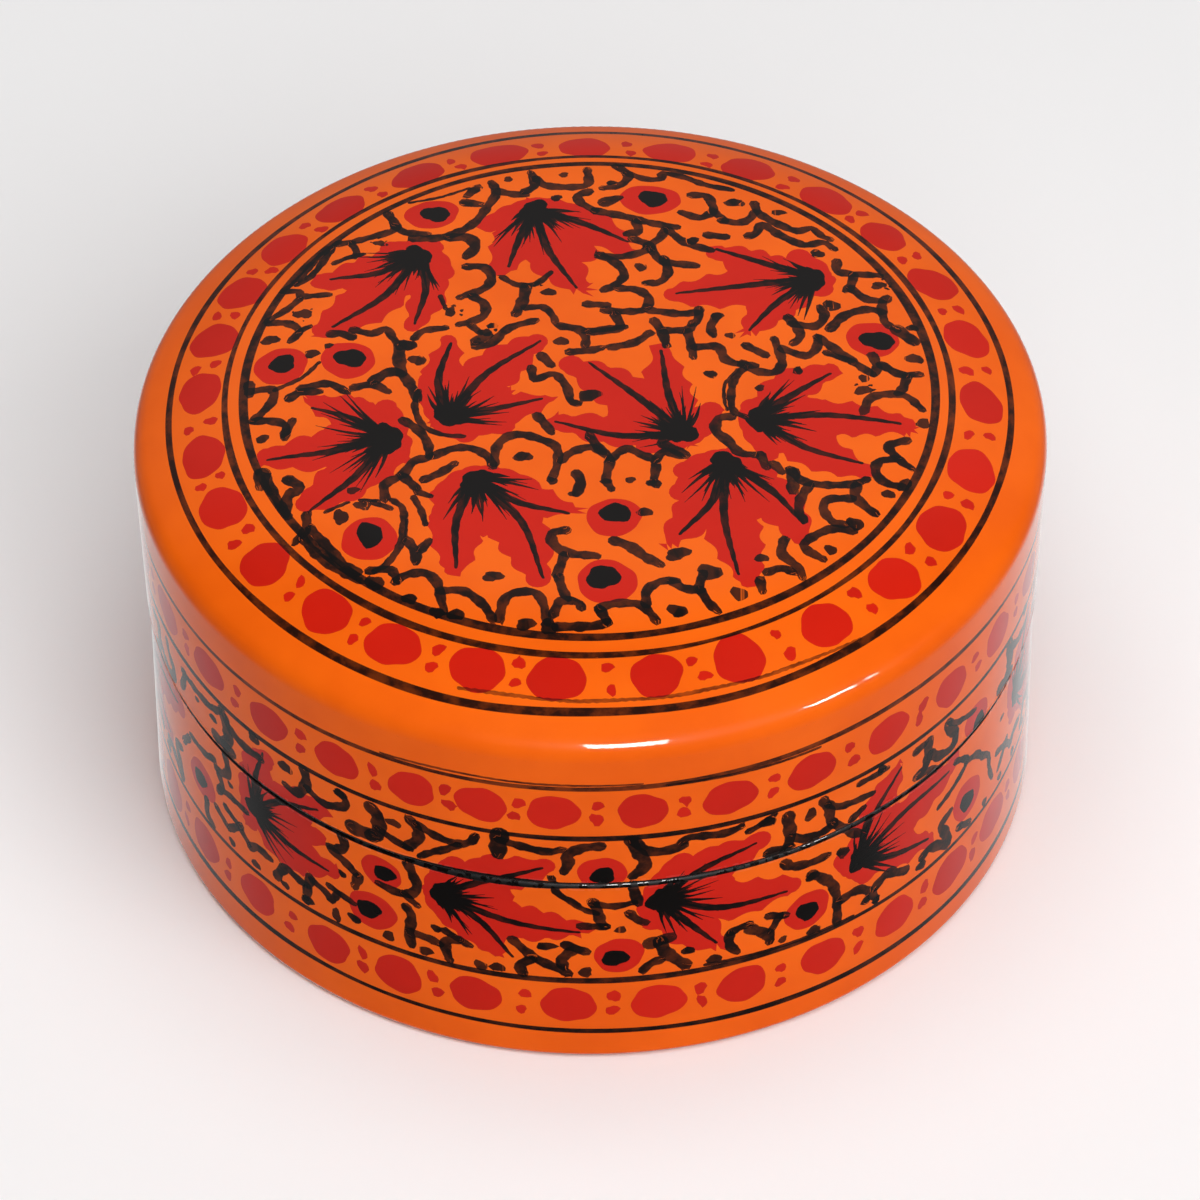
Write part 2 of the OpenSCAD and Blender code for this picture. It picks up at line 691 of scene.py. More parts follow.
@dataclass(frozen=True)
class Leaf:
    """A chinar leaf: wavy red lobes that spread from a feathered black heart.

    Attributes:
        heart: Middle of the black heart.
        lobes: The large lobes, most of which have veins.
        minor: Tips of the short lobes between them.
        heart_size: Half of the heart's breadth.
        tone: Picks a slightly different red.
        seed: Picks the hairs and the waves.
    """

    heart: Point
    lobes: tuple[Lobe, ...]
    minor: tuple[Point, ...] = ()
    heart_size: float = 2.0
    tone: float = 0.5
    seed: int = 1

    def _angle(self, tip: Point) -> float:
        """Direction from the heart to a tip, in radians."""
        return math.atan2(tip[1] - self.heart[1], tip[0] - self.heart[0])

    @cached_property
    def aim(self) -> float:
        """The leaf's middle direction, in radians."""
        angles = [self._angle(lobe.tip) for lobe in self.lobes]
        return math.atan2(sum(map(math.sin, angles)), sum(map(math.cos, angles)))

    def _turn(self, lobe: Lobe) -> float:
        """Angle of a lobe from the leaf's middle direction."""
        return (self._angle(lobe.tip) - self.aim + math.pi) % TAU - math.pi

    def _red(self, *points: Array, **more: float) -> Stroke:
        """A stroke in the leaf's red."""
        return Stroke(tuple(map(tuple, points)), dry=0.0, pigment=Pigment.RED, tone=self.tone, **more)

    def _reds(self, draw: random.Random) -> list[Mark]:
        """Paints the lobes and the webs between them.

        Args:
            draw: Draws the waves' pitches.

        Returns:
            The red marks.
        """
        h = np.array(self.heart)
        reds: list[Mark] = []
        # Lobes, wavy at their edges, which run together near the heart
        for i, lobe in enumerate(self.lobes):
            run = np.array(lobe.tip) - h
            end = h + run * (1 - lobe.width * 0.2 / float(np.linalg.norm(run)))
            middle = h + run * 0.52 + np.array([-run[1], run[0]]) * lobe.bend
            pitch, toothed = draw.uniform(3.0, 3.9), (i + self.seed) % 2 == 0
            edges = {"start": 0.5, "end": 0.42, "belly": 0.5, "rough": 0.85, "pitch": pitch, "toothed": toothed}
            reds.append(self._red(h + run * 0.06, middle, end, width=lobe.width, **edges))
        # The web between neighbouring lobes
        by_side = sorted(self.lobes, key=self._turn)
        edges = {"width": 5.4, "start": 0.8, "end": 0.6, "belly": 0.7, "rough": 0.35, "pitch": 2.9}
        for one, two in zip(by_side, by_side[1:]):
            mid = (np.array(one.tip) + np.array(two.tip)) / 2 - h
            reds.append(self._red(h + mid * 0.14, h + mid * 0.5, **edges))
        # Short lobes
        edges = {"width": 5.0, "start": 0.9, "end": 0.62, "belly": 0.3, "rough": 0.3, "pitch": 2.8}
        for tip in self.minor:
            run = np.array(tip) - h
            reds.append(self._red(h, h + run * max(0.3, 1 - 1.5 / float(np.linalg.norm(run))), **edges))
        return reds

    def _hairs(self, draw: random.Random, count: int = 46) -> list[Mark]:
        """Draws the heart out into hairs that fan over the lobes.

        Args:
            draw: Draws their places and sizes.
            count: How many there are.

        Returns:
            The hairs, short and long by turns.
        """
        h = np.array(self.heart)
        turns = sorted(map(self._turn, self.lobes))
        first, last = turns[0] - 0.5, turns[-1] + 0.5
        hairs: list[Mark] = []
        for k in range(count):
            a = self.aim + first + (last - first) * (k + draw.uniform(0.1, 0.9)) / count
            ahead = np.array([math.cos(a), math.sin(a)])
            side = np.array([-ahead[1], ahead[0]]) * draw.uniform(-0.5, 0.5)
            root = h + ahead * self.heart_size * 0.3
            short = k % 2 == 0
            reach = self.heart_size * (draw.uniform(1.0, 1.9) if short else draw.uniform(1.7, 3.9))
            points = (root, root + ahead * reach * 0.5 + side, root + ahead * reach + side * 0.6)
            width = draw.uniform(0.7, 1.15) if short else draw.uniform(0.4, 0.8)
            taper = {"start": 1.0, "end": 0.08, "belly": 0.12, "rough": 0.03}
            hairs.append(Stroke(tuple(map(tuple, points)), width=width, **taper, dry=0.3, load=1.3))
        return hairs

    def _veins(self, draw: random.Random) -> list[Mark]:
        """Draws the veins, pressed at the heart and lifted towards the tips.

        Args:
            draw: Draws how they bow.

        Returns:
            The veins.
        """
        h = np.array(self.heart)
        veins: list[Mark] = []
        taper = {"start": 1.0, "end": 0.34, "belly": 0.2, "rough": 0.1, "pitch": 2.2}
        for lobe in self.lobes:
            if lobe.vein is not None:
                run = np.array(lobe.vein) - h
                bow = lobe.bend * 1.1 + draw.uniform(-0.05, 0.05)
                points = (h + run * 0.04, h + run * 0.5 + np.array([-run[1], run[0]]) * bow, lobe.vein)
                veins.append(Stroke(tuple(map(tuple, points)), width=1.2, **taper, dry=0.4, load=1.1))
        return veins

    def marks(self) -> tuple[list[Mark], list[Mark]]:
        """Paints the leaf.

        Returns:
            Its red marks, and its black marks.
        """
        draw = random.Random(self.seed)
        reds = self._reds(draw)
        # The heart sits a little towards the lobes and is broad across the leaf's middle direction
        heart = Dab(
            tuple(np.array(self.heart) + 0.35 * np.array([math.cos(self.aim), math.sin(self.aim)])),
            self.heart_size * 0.98,
            self.heart_size * 0.8,
            turn=math.degrees(self.aim) + 90,
            wobble=0.12,
            load=2.6,
        )
        return reds, [heart, *self._hairs(draw), *self._veins(draw)]


# ---------------------------------------------------------------- flat sheets that wrap over the box


class Sheet(ABC):
    """A flat area in millimetres that is painted and then wrapped over the box."""

    spacing: float = 1.6

    @abstractmethod
    def border(self, marks: Sequence[Mark]) -> Array:
        """Points of the closed border."""

    @abstractmethod
    def grid(self) -> Array:
        """Points that fill the inside."""

    @abstractmethod
    def round_trip(self) -> tuple[Array, bool]:
        """Angles that go once round, and whether the line through them closes by itself."""

    @abstractmethod
    def polar(self, spots: Array) -> tuple[Array, Array]:
        """Angle from the front, and radius or height, of spots on the sheet."""

    @abstractmethod
    def trace(self, theta: Array, q: Array) -> Array:
        """Spots on the sheet with these angles and radii or heights."""

    @abstractmethod
    def place(self, spots: Array) -> Array:
        """Where spots of the sheet lie in space."""

    def clip(self, a: Array, b: Array) -> tuple[Array, Array] | None:
        """The part of an edge that may be cut into the sheet, or None."""
        return a, b

    def normals(self, spots: Array) -> Array:
        """Finds the outward directions of the wrapped sheet.

        Args:
            spots: Places on the sheet, one row each.

        Returns:
            One direction for each spot.
        """
        e = 0.05
        dx = self.place(spots + [e, 0]) - self.place(spots - [e, 0])
        dy = self.place(spots + [0, e]) - self.place(spots - [0, e])
        n = np.cross(dx, dy)
        return n / np.linalg.norm(n, axis=1)[:, None]


@dataclass(frozen=True)
class CrownSheet(Sheet):
    """The lid's moulded top, rolled out flat from its middle to its joint with the hoop."""

    sides: int = 288

    @cached_property
    def stops(self) -> tuple[float, float, float]:
        """Distances from the middle at which the shoulder, the corner and the side begin."""
        first = SIZES.crown_radius * SIZES.touch
        second = first + SIZES.shoulder * (SIZES.lean - SIZES.touch)
        return first, second, second + SIZES.corner * (math.pi / 2 - SIZES.lean)

    @cached_property
    def rim(self) -> float:
        """Distance over the surface from the middle to the joint with the hoop."""
        return self.stops[2] + SIZES.corner_z - SIZES.joint_z

    def profile(self, s: Array) -> tuple[Array, Array, Array]:
        """Finds the surface at distances from its middle.

        Args:
            s: Distances over the surface.

        Returns:
            Radii, heights, and leans, which are 0 where it lies level.
        """
        one, two, three = self.stops
        ring, deep = SIZES.shoulder_ring
        ball, broad, tight = SIZES.crown_radius, SIZES.shoulder, SIZES.corner
        where = [s < one, s < two, s < three]
        leans = [s / ball, SIZES.touch + (s - one) / broad, SIZES.lean + (s - two) / tight]
        lean = np.select(where, leans, math.pi / 2)
        out, up = np.sin(lean), np.cos(lean)
        side_z = SIZES.corner_z - (s - three)
        r = np.select(where, [ball * out, ring + broad * out, SIZES.corner_ring + tight * out], SIZES.side(side_z))
        heights = [SIZES.height - ball * (1 - up), deep + broad * up, SIZES.corner_z + tight * up]
        return r, np.select(where, heights, side_z), lean

    def border(self, marks: Sequence[Mark]) -> Array:
        """The ring at the joint."""
        theta = np.arange(self.sides) * TAU / self.sides - math.pi
        return self.trace(theta, np.full_like(theta, self.rim))

    def grid(self) -> Array:
        """Fills the inside in rows, with close rings round the corner.

        Returns:
            The points.
        """
        step = self.spacing
        half = int(self.rim / (step * 0.866))
        rows = []
        for j in range(half * 2 + 1):
            x = np.arange(-self.rim, self.rim, step) + (j % 2) * step / 2
            rows.append(np.stack([x, np.full_like(x, (j - half) * step * 0.866)], axis=1))
        p = np.vstack(rows)
        s = np.hypot(p[:, 0], p[:, 1])
        tight = self.stops[1] - 1.0, min(self.stops[2] + 1.0, self.rim - 0.3)
        p = p[(s < self.rim - 1.0) & ((s < tight[0] - 0.7) | (s > tight[1] + 0.7))]
        # Closer rings round the corner
        theta = np.arange(300) * TAU / 300
        radii = np.arange(*tight, 0.55)
        rings = [self.trace(theta + 0.01 * (k % 2), np.full_like(theta, q)) for k, q in enumerate(radii)]
        return np.vstack([p, *rings])

    def round_trip(self) -> tuple[Array, bool]:
        """A full circle."""
        return np.arange(360) * TAU / 360 - math.pi, True

    def polar(self, spots: Array) -> tuple[Array, Array]:
        """Angles from the front, and distances from the middle."""
        return np.arctan2(spots[:, 0], -spots[:, 1]), np.hypot(spots[:, 0], spots[:, 1])

    def trace(self, theta: Array, q: Array) -> Array:
        """Spots at these angles and distances from the middle."""
        return np.stack([q * np.sin(theta), -q * np.cos(theta)], axis=1)

    def place(self, spots: Array) -> Array:
        """Wraps the sheet over the lid, with the top's and the side's dents.

        Args:
            spots: Places on the sheet, one row each.

        Returns:
            Places in space, in millimetres.
        """
        theta, s = self.polar(spots)
        r, z, lean = self.profile(s)
        round_part = np.clip((s - 30) / 24, 0, 1)
        round_part = round_part**2 * (3 - 2 * round_part)
        x, y = spots[:, 0], spots[:, 1]
        top = 0.01 + 0.03 * (1 + np.sin(x / 11 + 0.6) * np.sin(y / 13 + 1.1))
        in_by = dent(theta, z) * round_part + top * (1 - round_part)
        r, z = r - in_by * np.sin(lean), z - in_by * np.cos(lean)
        return round_box(theta, r, z)


@dataclass(frozen=True)
class WallSheet(Sheet):
    """The outside of a hoop, cut near the back and rolled out flat.

    Attributes:
        radius: The hoop's outer radius.
        low: Height of its lower border.
        high: Height of its upper border.
        keep: Heights between which marks are cut into it.
        cut: Degrees from the front at which it is cut.
        sides: How many columns it has.
        flared: Whether it follows the lid's side instead of an upright wall.
    """

    radius: float
    low: float
    high: float
    keep: Point
    cut: float = CUT_DEGREES
    sides: int = 288
    flared: bool = False

    @property
    def left(self) -> float:
        """The sheet's least x."""
        return math.radians(self.cut - 360) * self.radius

    @property
    def right(self) -> float:
        """The sheet's greatest x."""
        return math.radians(self.cut) * self.radius

    def border(self, marks: Sequence[Mark]) -> Array:
        """Goes round the sheet, with a point wherever a band meets the cut.

        Args:
            marks: The marks that are painted on it.

        Returns:
            The points.
        """
        at_cut = np.array([math.radians(self.cut)])
        edges = [float(edge[0]) for mark in marks if isinstance(mark, Band) for edge in mark.edges(at_cut)]
        cuts = [edge for edge in edges if self.keep[0] < edge < self.keep[1]]
        even = np.linspace(self.low, self.high, int((self.high - self.low) / self.spacing) + 1)[1:-1]
        rows = sorted(cuts + [float(r) for r in even if all(abs(r - c) > 0.3 for c in cuts)])
        x = np.linspace(self.left, self.right, self.sides + 1)
        low = [(v, self.low) for v in x]
        high = [(v, self.high) for v in x[::-1]]
        return np.array(low + [(self.right, r) for r in rows] + high + [(self.left, r) for r in rows[::-1]])

    def grid(self) -> Array:
        """Fills the inside in rows.

        Returns:
            The points.
        """
        rows = []
        step = self.spacing
        for j, y in enumerate(np.linspace(self.low, self.high, int((self.high - self.low) / (step * 0.87)) + 1)[1:-1]):
            x = np.arange(self.left + step * (0.7 + 0.5 * (j % 2)), self.right - step * 0.6, step)
            rows.append(np.stack([x, np.full_like(x, y)], axis=1))
        return np.vstack(rows)

    def round_trip(self) -> tuple[Array, bool]:
        """From one side of the cut to the other."""
        return np.linspace(math.radians(self.cut - 360), math.radians(self.cut), 361), False

    def polar(self, spots: Array) -> tuple[Array, Array]:
        """Angles from the front, and heights."""
        return spots[:, 0] / self.radius, spots[:, 1]

    def trace(self, theta: Array, q: Array) -> Array:
        """Finds spots on the sheet, and sets those at the cut exactly on it.

        Args:
            theta: Angles from the front, in radians.
            q: Heights.

        Returns:
            One spot for each angle and height.
        """
        x = theta * self.radius
        x[np.abs(x - self.left) < 1e-4] = self.left
        x[np.abs(x - self.right) < 1e-4] = self.right
        return np.stack([x, q], axis=1)

    def place(self, spots: Array) -> Array:
        """Wraps the sheet round the hoop, with its dents.

        Args:
            spots: Places on the sheet, one row each.

        Returns:
            Places in space, in millimetres.
        """
        theta, z = self.polar(spots)
        r = (SIZES.side(z) if self.flared else self.radius) - dent(theta, z)
        return round_box(theta, r, z)

    def clip(self, a: Array, b: Array) -> tuple[Array, Array] | None:
        """Cuts an edge off at the heights between which marks are kept.

        Args:
            a: Its start.
            b: Its end.

        Returns:
            The part that is kept, or None.
        """
        for limit, sign in ((self.keep[0], 1), (self.keep[1], -1)):
            below_a, below_b = sign * (a[1] - limit) < 0, sign * (b[1] - limit) < 0
            if below_a and below_b:
                return None
            if below_a or below_b:
                t = (limit - a[1]) / (b[1] - a[1])
                cut = a + (b - a) * t
                a, b = (cut, b) if below_a else (a, cut)
        return a, b


@dataclass
class Painted:
    """A sheet cut into triangles, with the paint at each triangle's corners.

    Attributes:
        spots: Corners on the flat sheet.
        faces: Three corners for each triangle.
        paint: For each corner of each triangle: red, layers of ink, dryness, tone.
        brush: For each corner of each triangle: distance along and place across the brush, and a seed.
    """

    spots: Array
    faces: Array
    paint: Array
    brush: Array


def paint_sheet(sheet: Sheet, marks: Sequence[Mark]) -> Painted:
    """Cuts a sheet along the edges of its marks and paints them in order.

    Args:
        sheet: The sheet.
        marks: The marks, first painted first.

    Returns:
        The painted sheet.
    """
    border = sheet.border(marks)
    spots: list[Point] = [tuple(p) for p in border]
    edges = [(i, (i + 1) % len(spots)) for i in range(len(spots))]
    inner = len(spots)
    for mark in marks:
        for loop, closed in mark.outlines(sheet):
            ends = np.roll(loop, -1, axis=0) if closed else loop[1:]
            starts = loop if closed else loop[:-1]
            last: tuple[Point, int] | None = None
            for a, b in zip(starts, ends):
                piece = sheet.clip(a, b)
                if piece is None:
                    continue
                pair = []
                for p in piece:
                    key = (float(p[0]), float(p[1]))
                    if last is not None and last[0] == key:
                        pair.append(last[1])
                    else:
                        spots.append(key)
                        pair.append(len(spots) - 1)
                    last = (key, pair[-1])
                edges.append((pair[0], pair[1]))
    tree = KDTree(len(spots) - inner)
    for i, (x, y) in enumerate(spots[inner:]):
        tree.insert((x, y, 0), i)
    tree.balance()
    for x, y in sheet.grid():
        if tree.find((x, y, 0))[2] > 0.5:
            spots.append((float(x), float(y)))
    found, _, faces, *_ = delaunay_2d_cdt([Vector(p) for p in spots], edges, [], 0, 2e-3, False)
    flat = np.array([tuple(v) for v in found])
    tris = np.array(faces)
    a, b, c = (flat[tris[:, k]] for k in range(3))
    area = (b - a)[:, 0] * (c - a)[:, 1] - (b - a)[:, 1] * (c - a)[:, 0]
    tris = np.where(area[:, None] < 0, tris[:, ::-1], tris)
    centre = (a + b + c) / 3
    paint = np.zeros((len(tris), 3, 4))
    paint[..., 3] = 0.5
    brush = np.zeros((len(tris), 3, 3))
    corners = flat[tris]
    for mark in marks:
        x0, x1, y0, y1 = mark.reach(sheet)
        inside = (centre[:, 0] > x0) & (centre[:, 0] < x1) & (centre[:, 1] > y0) & (centre[:, 1] < y1)
        near = np.nonzero(inside)[0]
        if not len(near):
            continue
        hit = near[mark.covers(sheet, centre[near])]
        if mark.pigment is Pigment.RED:
            paint[hit, :, 0] = 1
            paint[hit, :, 3] = mark.tone
            continue
        facts = mark.brushed(sheet, corners[hit].reshape(-1, 2)).reshape(-1, 3, 3)
        if isinstance(mark, Band) and isinstance(sheet, CrownSheet):
            # At the back a band's distance along jumps by a whole turn, inside some triangles too
            turn = TAU * SIZES.lid_radius
            facts[..., 0] -= np.round((facts[..., 0] - facts[:, :1, 0]) / turn) * turn
        paint[hit, :, 1] += mark.load
        paint[hit, :, 2] = facts[..., 2]
        brush[hit, :, :2] = facts[..., :2]
        brush[hit, :, 2] = getattr(mark, "seed", 0.0)
    return Painted(flat, tris, paint, brush)


# ---------------------------------------------------------------- closed shells


@dataclass(frozen=True)
class Run:
    """A smooth stretch of a turned profile: points, their normals and their share of the dents."""

    points: Array
    normals: Array
    share: Array


def straight(a: Point, b: Point, share: Point = (0.0, 0.0)) -> Run:
    """A straight stretch of a profile.

    Args:
        a: Radius and height of its start.
        b: Radius and height of its end.
        share: Its share of the dents at each end.

    Returns:
        The stretch.
    """
    d = np.array(b, float) - np.array(a, float)
    d /= np.linalg.norm(d)
    n = np.array([-d[1], d[0]])
    return Run(np.array([a, b], float), np.array([n, n]), np.array(share))


def arc(centre: Point, radius: float, start: float, stop: float, steps: int, share: Point = (0.0, 0.0)) -> Run:
    """A round stretch of a profile.

    Args:
        centre: Radius and height of its centre.
        radius: Its radius.
        start: Angle of its start, in degrees from outward.
        stop: Angle of its end.
        steps: How many straight steps it is made of.
        share: Its share of the dents at each end.

    Returns:
        The stretch.
    """
    a = np.radians(np.linspace(start, stop, steps + 1))
    out = np.stack([np.cos(a), np.sin(a)], axis=1)
    sign = 1.0 if stop < start else -1.0
    return Run(np.array(centre) + radius * out, sign * out, np.linspace(share[0], share[1], steps + 1))


def turned(normal: Array, theta: Array) -> Array:
    """A profile's normal, turned to these angles."""
    return np.stack([normal[0] * np.sin(theta), -normal[0] * np.cos(theta), np.full_like(theta, normal[1])], axis=1)


class Shell:
    """One closed piece while it is being put together."""

    def __init__(self) -> None:
        """Starts an empty piece."""
        self.points: list[Array] = []
        self.count = 0
        self.faces: list[tuple[int, ...]] = []
        self.normals: list[Array] = []
        self.maps: list[Array] = []
        self.paint: list[Array] = []
        self.brush: list[Array] = []
        self.materials: list[int] = []

    def add_points(self, points: Array) -> Array:
        """Adds points.

        Args:
            points: Their places in millimetres.

        Returns:
            Their numbers.
        """
        self.points.append(points)
        first = self.count
        self.count += len(points)
        return np.arange(first, self.count)

    def add_faces(
        self,
        faces: Array,
        normals: Array,
        maps: Array,
        material: int,
        paint: Array | None = None,
        brush: Array | None = None,
    ) -> None:
        """Adds faces that all have the same number of corners.

        Args:
            faces: Numbers of their corners, which turn left as seen from outside.
            normals: A direction for each corner.
            maps: A place in the colour map for each corner.
            material: Number of their material.
            paint: Red, layers of ink, dryness and tone for each corner, or None for bare ones.
            brush: Place under the brush for each corner, or None.
        """
        n, k = faces.shape
        self.faces.extend(map(tuple, faces.tolist()))
        self.normals.append(normals.reshape(-1, 3))
        self.maps.append(maps.reshape(-1, 2))
        self.paint.append((np.zeros((n * k, 4)) + [0, 0, 0, 0.5]) if paint is None else paint.reshape(-1, 4))
        self.brush.append(np.zeros((n * k, 3)) if brush is None else brush.reshape(-1, 3))
        self.materials.extend([material] * n)

    def lathe(
        self,
        theta: Array,
        first: Array,
        last: Array | None,
        runs: Sequence[Run],
        chart: Chart,
        material: int,
        ink: float = 0.0,
    ) -> None:
        """Turns a profile between two rings of points that are already there.

        Args:
            theta: Angles of the rings' points, in rising order.
            first: The ring that the profile starts from.
            last: The ring that it ends at, or None if it starts and ends nowhere or in the middle.
            runs: The profile's smooth stretches, end to end.
            chart: Gives the map's place for an angle and a share of the profile's length.
            material: Number of the material.
            ink: Layers of ink on it.
        """
        around = np.append(theta, theta[0] + TAU)
        here, following = around[:-1], around[1:]
        total = sum(np.linalg.norm(np.diff(r.points, axis=0), axis=1).sum() for r in runs)
        ring, done = first, 0.0
        for number, run in enumerate(runs):
            for i in range(len(run.points) - 1):
                r, z = run.points[i + 1]
                is_end = number == len(runs) - 1 and i == len(run.points) - 2
                at_middle = r < 1e-6
                step = float(np.linalg.norm(run.points[i + 1] - run.points[i]))
                if is_end and last is not None:
                    below = last
                elif at_middle:
                    below = np.repeat(self.add_points(np.array([[0.0, 0.0, z]])), len(theta))
                else:
                    height = np.full_like(theta, z)
                    rr = r - dent(theta, height) * run.share[i + 1] * abs(run.normals[i + 1][0])
                    below = self.add_points(round_box(theta, rr, height))
                # Each face goes round its corners: two on the new ring, or one in the middle, then two on the old
                old, new = run.normals[i], run.normals[i + 1]
                corners = [
                    (below, new, here, done + step),
                    (np.roll(below, -1), new, following, done + step),
                    (np.roll(ring, -1), old, following, done),
                    (ring, old, here, done),
                ]
                if at_middle:
                    del corners[1]
                faces = np.stack([points for points, *_ in corners], axis=1)
                normals = np.stack([turned(n, angle) for _, n, angle, _ in corners], axis=1)
                maps = np.stack([chart(angle, np.full_like(theta, at / total)) for *_, angle, at in corners], axis=1)
                paint = np.zeros(faces.shape + (4,)) + [0.0, ink, 0.0, 0.5]
                self.add_faces(faces, normals, maps, material, paint)
                ring, done = below, done + step

    def build(self, name: str, materials: Sequence[bpy.types.Material]) -> bpy.types.Object:
        """Makes the piece.

        Args:
            name: The piece's name.
            materials: Its materials, in the order of their numbers.

        Returns:
            The new object, which stands at the origin.
        """
        points = np.vstack(self.points)
        used = np.unique(np.concatenate([np.array(f) for f in self.faces]))
        renumber = np.full(len(points), -1)
        renumber[used] = np.arange(len(used))
        mesh = bpy.data.meshes.new(name)
        mesh.from_pydata((points[used] * MM).tolist(), [], [[int(renumber[i]) for i in f] for f in self.faces])
        for material in materials:
            mesh.materials.append(material)
        mesh.polygons.foreach_set("material_index", self.materials)
        mesh.polygons.foreach_set("use_smooth", [True] * len(self.faces))
        uv = mesh.uv_layers.new(name="OFBake")
        uv.data.foreach_set("uv", np.vstack(self.maps).ravel())
        paint = mesh.attributes.new("paint", "FLOAT_COLOR", "CORNER")
        paint.data.foreach_set("color", np.vstack(self.paint).ravel())
        brush = mesh.attributes.new("brush", "FLOAT_VECTOR", "CORNER")
        brush.data.foreach_set("vector", np.vstack(self.brush).ravel())
        mesh.update()
        mesh.normals_split_custom_set(np.vstack(self.normals).tolist())
        piece = bpy.data.objects.new(name, mesh)
        bpy.context.collection.objects.link(piece)
        return piece


# ---------------------------------------------------------------- the painting


def pull(width: float, *places: float, **more: float) -> Stroke:
    """A scroll stroke of this width, through places whose x and y follow one another."""
    points = tuple(zip(places[::2], places[1::2]))
    return Stroke(points, width=width * 1.34, rough=0.1, pitch=1.4, press=0.24, **more)


def scrolls(*rows: tuple[float, ...]) -> list[Mark]:
    """Scroll strokes, each with its width and then its places."""
    return [pull(*row) for row in rows]


def small_dabs(*rows: tuple[float, ...]) -> list[Mark]:
    """Small black dabs, each with its x, y and half-length, and for some their half-breadth and turn."""
    return [spot(*row) for row in rows]


def spot(x: float, y: float, size: float, breadth: float = 0.0, turn: float = 0.0) -> Dab:
    """A small black dab."""
    return Dab((x, y), size, breadth or size * 0.9, turn=turn, wobble=0.13, dry=0.5)


TOP_LEAVES = (
    Leaf(
        (-22.5, 27), (Lobe((-36.7, 21.9), (-34.4, 22.5), 6.0, 0.07), Lobe((-36.2, 11.2), (-34, 12.9), 8.0, 0.06),
        Lobe((-23.5, 11.7), (-23.1, 13.1), 5.2, 0.08)), ((-27.8, 28.6), (-19.5, 29), (-18.3, 22)), 2.1, 0.4, 11,
    ),
    Leaf(
        (-7.3, 35.8), (Lobe((-12.1, 22.7), (-10.6, 24.2), 6.4, 0.03), Lobe((-1.2, 18.5), (-1.6, 19.8), 7.0, -0.04),
        Lobe((5.7, 27.9), (5.3, 28.9), 7.0, 0.05)), ((-14.4, 32), (-0.4, 35), (0.8, 25.4)), 2.3, 0.5, 12,
    ),
    Leaf(
        (30.3, 21.5), (Lobe((16, 27), (17.2, 27.3), 6.4, 0.04), Lobe((9.9, 18.1), (11.7, 18.5), 7.0, 0.03),
        Lobe((21.1, 10.4), (21.3, 11.2), 6.6, -0.05)), ((31.5, 18), (27.6, 27)), 2.2, 0.35, 13,
    ),
    Leaf(
        (-18.8, -5.3), (Lobe((-18.7, 10.8), (-18.3, 9.2), 5.6, 0.05), Lobe((-6, 10.4), (-6.5, 9.4), 7.2, 0.03),
        Lobe((-4.4, -1.8), (-6.3, -1.7), 5.8, -0.04)), ((-10, -7.2), (-21.3, 3.5), (-15.4, -9.5)), 2.1, 0.45, 14,
    ),
    Leaf(
        (-26.2, -8.8), (Lobe((-43.5, -11.5), (-42.3, -12), 6.6, 0.04),
        Lobe((-37.3, -1.5), (-36.5, -2.8), 6.2, -0.06), Lobe((-37.9, -21.5), (-36.7, -22), 7.2, 0.05)),
        ((-26.9, -1.5), (-27.7, -16.5), (-24.8, -13.6), (-31.5, -1.2)), 2.7, 0.5, 15,
    ),
    Leaf(
        (-15, -16.5), (Lobe((-1.9, -23.6), (-2.9, -23.4), 6.0, -0.05),
        Lobe((-6.3, -36.5), (-6.2, -35.1), 7.4, 0.04), Lobe((-18.1, -34.5), (-17.5, -33), 6.8, -0.04)),
        ((-20.4, -25), (-20.8, -20.7), (-6.7, -18.8)), 2.2, 0.4, 16,
    ),
    Leaf(
        (12.4, -8.8), (Lobe((-3.5, 5.8), (0, 5), 7.4, -0.04), Lobe((10.1, 8.1), (9.5, 7.3), 6.2, 0.05),
        Lobe((-5, -6.3), (-4.5, -6.2), 5.6, 0.05)), ((16.8, -3), (3, -8.8), (6.3, -11.3)), 2.2, 0.55, 17,
    ),
    Leaf(
        (21.8, -5.9), (Lobe((42.4, -6.8), (40.7, -6.7), 6.6, 0.04), Lobe((32.6, 4.2), (31.8, 2.7), 6.4, 0.06),
        Lobe((36.8, -16.8), (35.5, -14.3), 7.0, -0.04)), ((24.2, -13.4), (21, -2.2)), 2.2, 0.4, 18,
    ),
    Leaf(
        (17.6, -13.8), (Lobe((9.5, -29.2), (11.5, -27.4), 6.6, 0.05), Lobe((20.3, -37.2), (19, -34.7), 7.2, -0.04),
        Lobe((28.4, -28.4), (27.6, -25.5), 6.8, 0.05)), ((10.9, -16.1), (10.7, -20.7), (26.3, -21), (24.2, -16.8)),
        2.3, 0.5, 19,
    ),
)

TOP_BERRIES = (
    Berry((-21, 35.2), (3.7, 3), (-20.5, 35.2), (1.7, 1.5)),
    Berry((8.4, 37.5), (4.2, 3), (8.8, 37.7), (1.7, 1.5)),
    Berry((-40.8, 5.6), (3.6, 3.5), (-40.6, 6), (1.6, 1.5)),
    Berry((-31.9, 6.3), (3.6, 3.5), (-31.6, 6.7), (1.8, 1.6)),
    Berry((37.6, 9.4), (3.5, 3.4), (38.2, 9.2), (2, 1.6)),
    Berry((-28.7, -27.4), (3.8, 3.7), (-28.7, -26.7), (1.5, 2)),
    Berry((3, -24.2), (3.6, 3.5), (3.2, -23.4), (1.7, 1.7)),
    Berry((2, -35.9), (4, 3.8), (1.5, -35.1), (1.8, 2)),
)

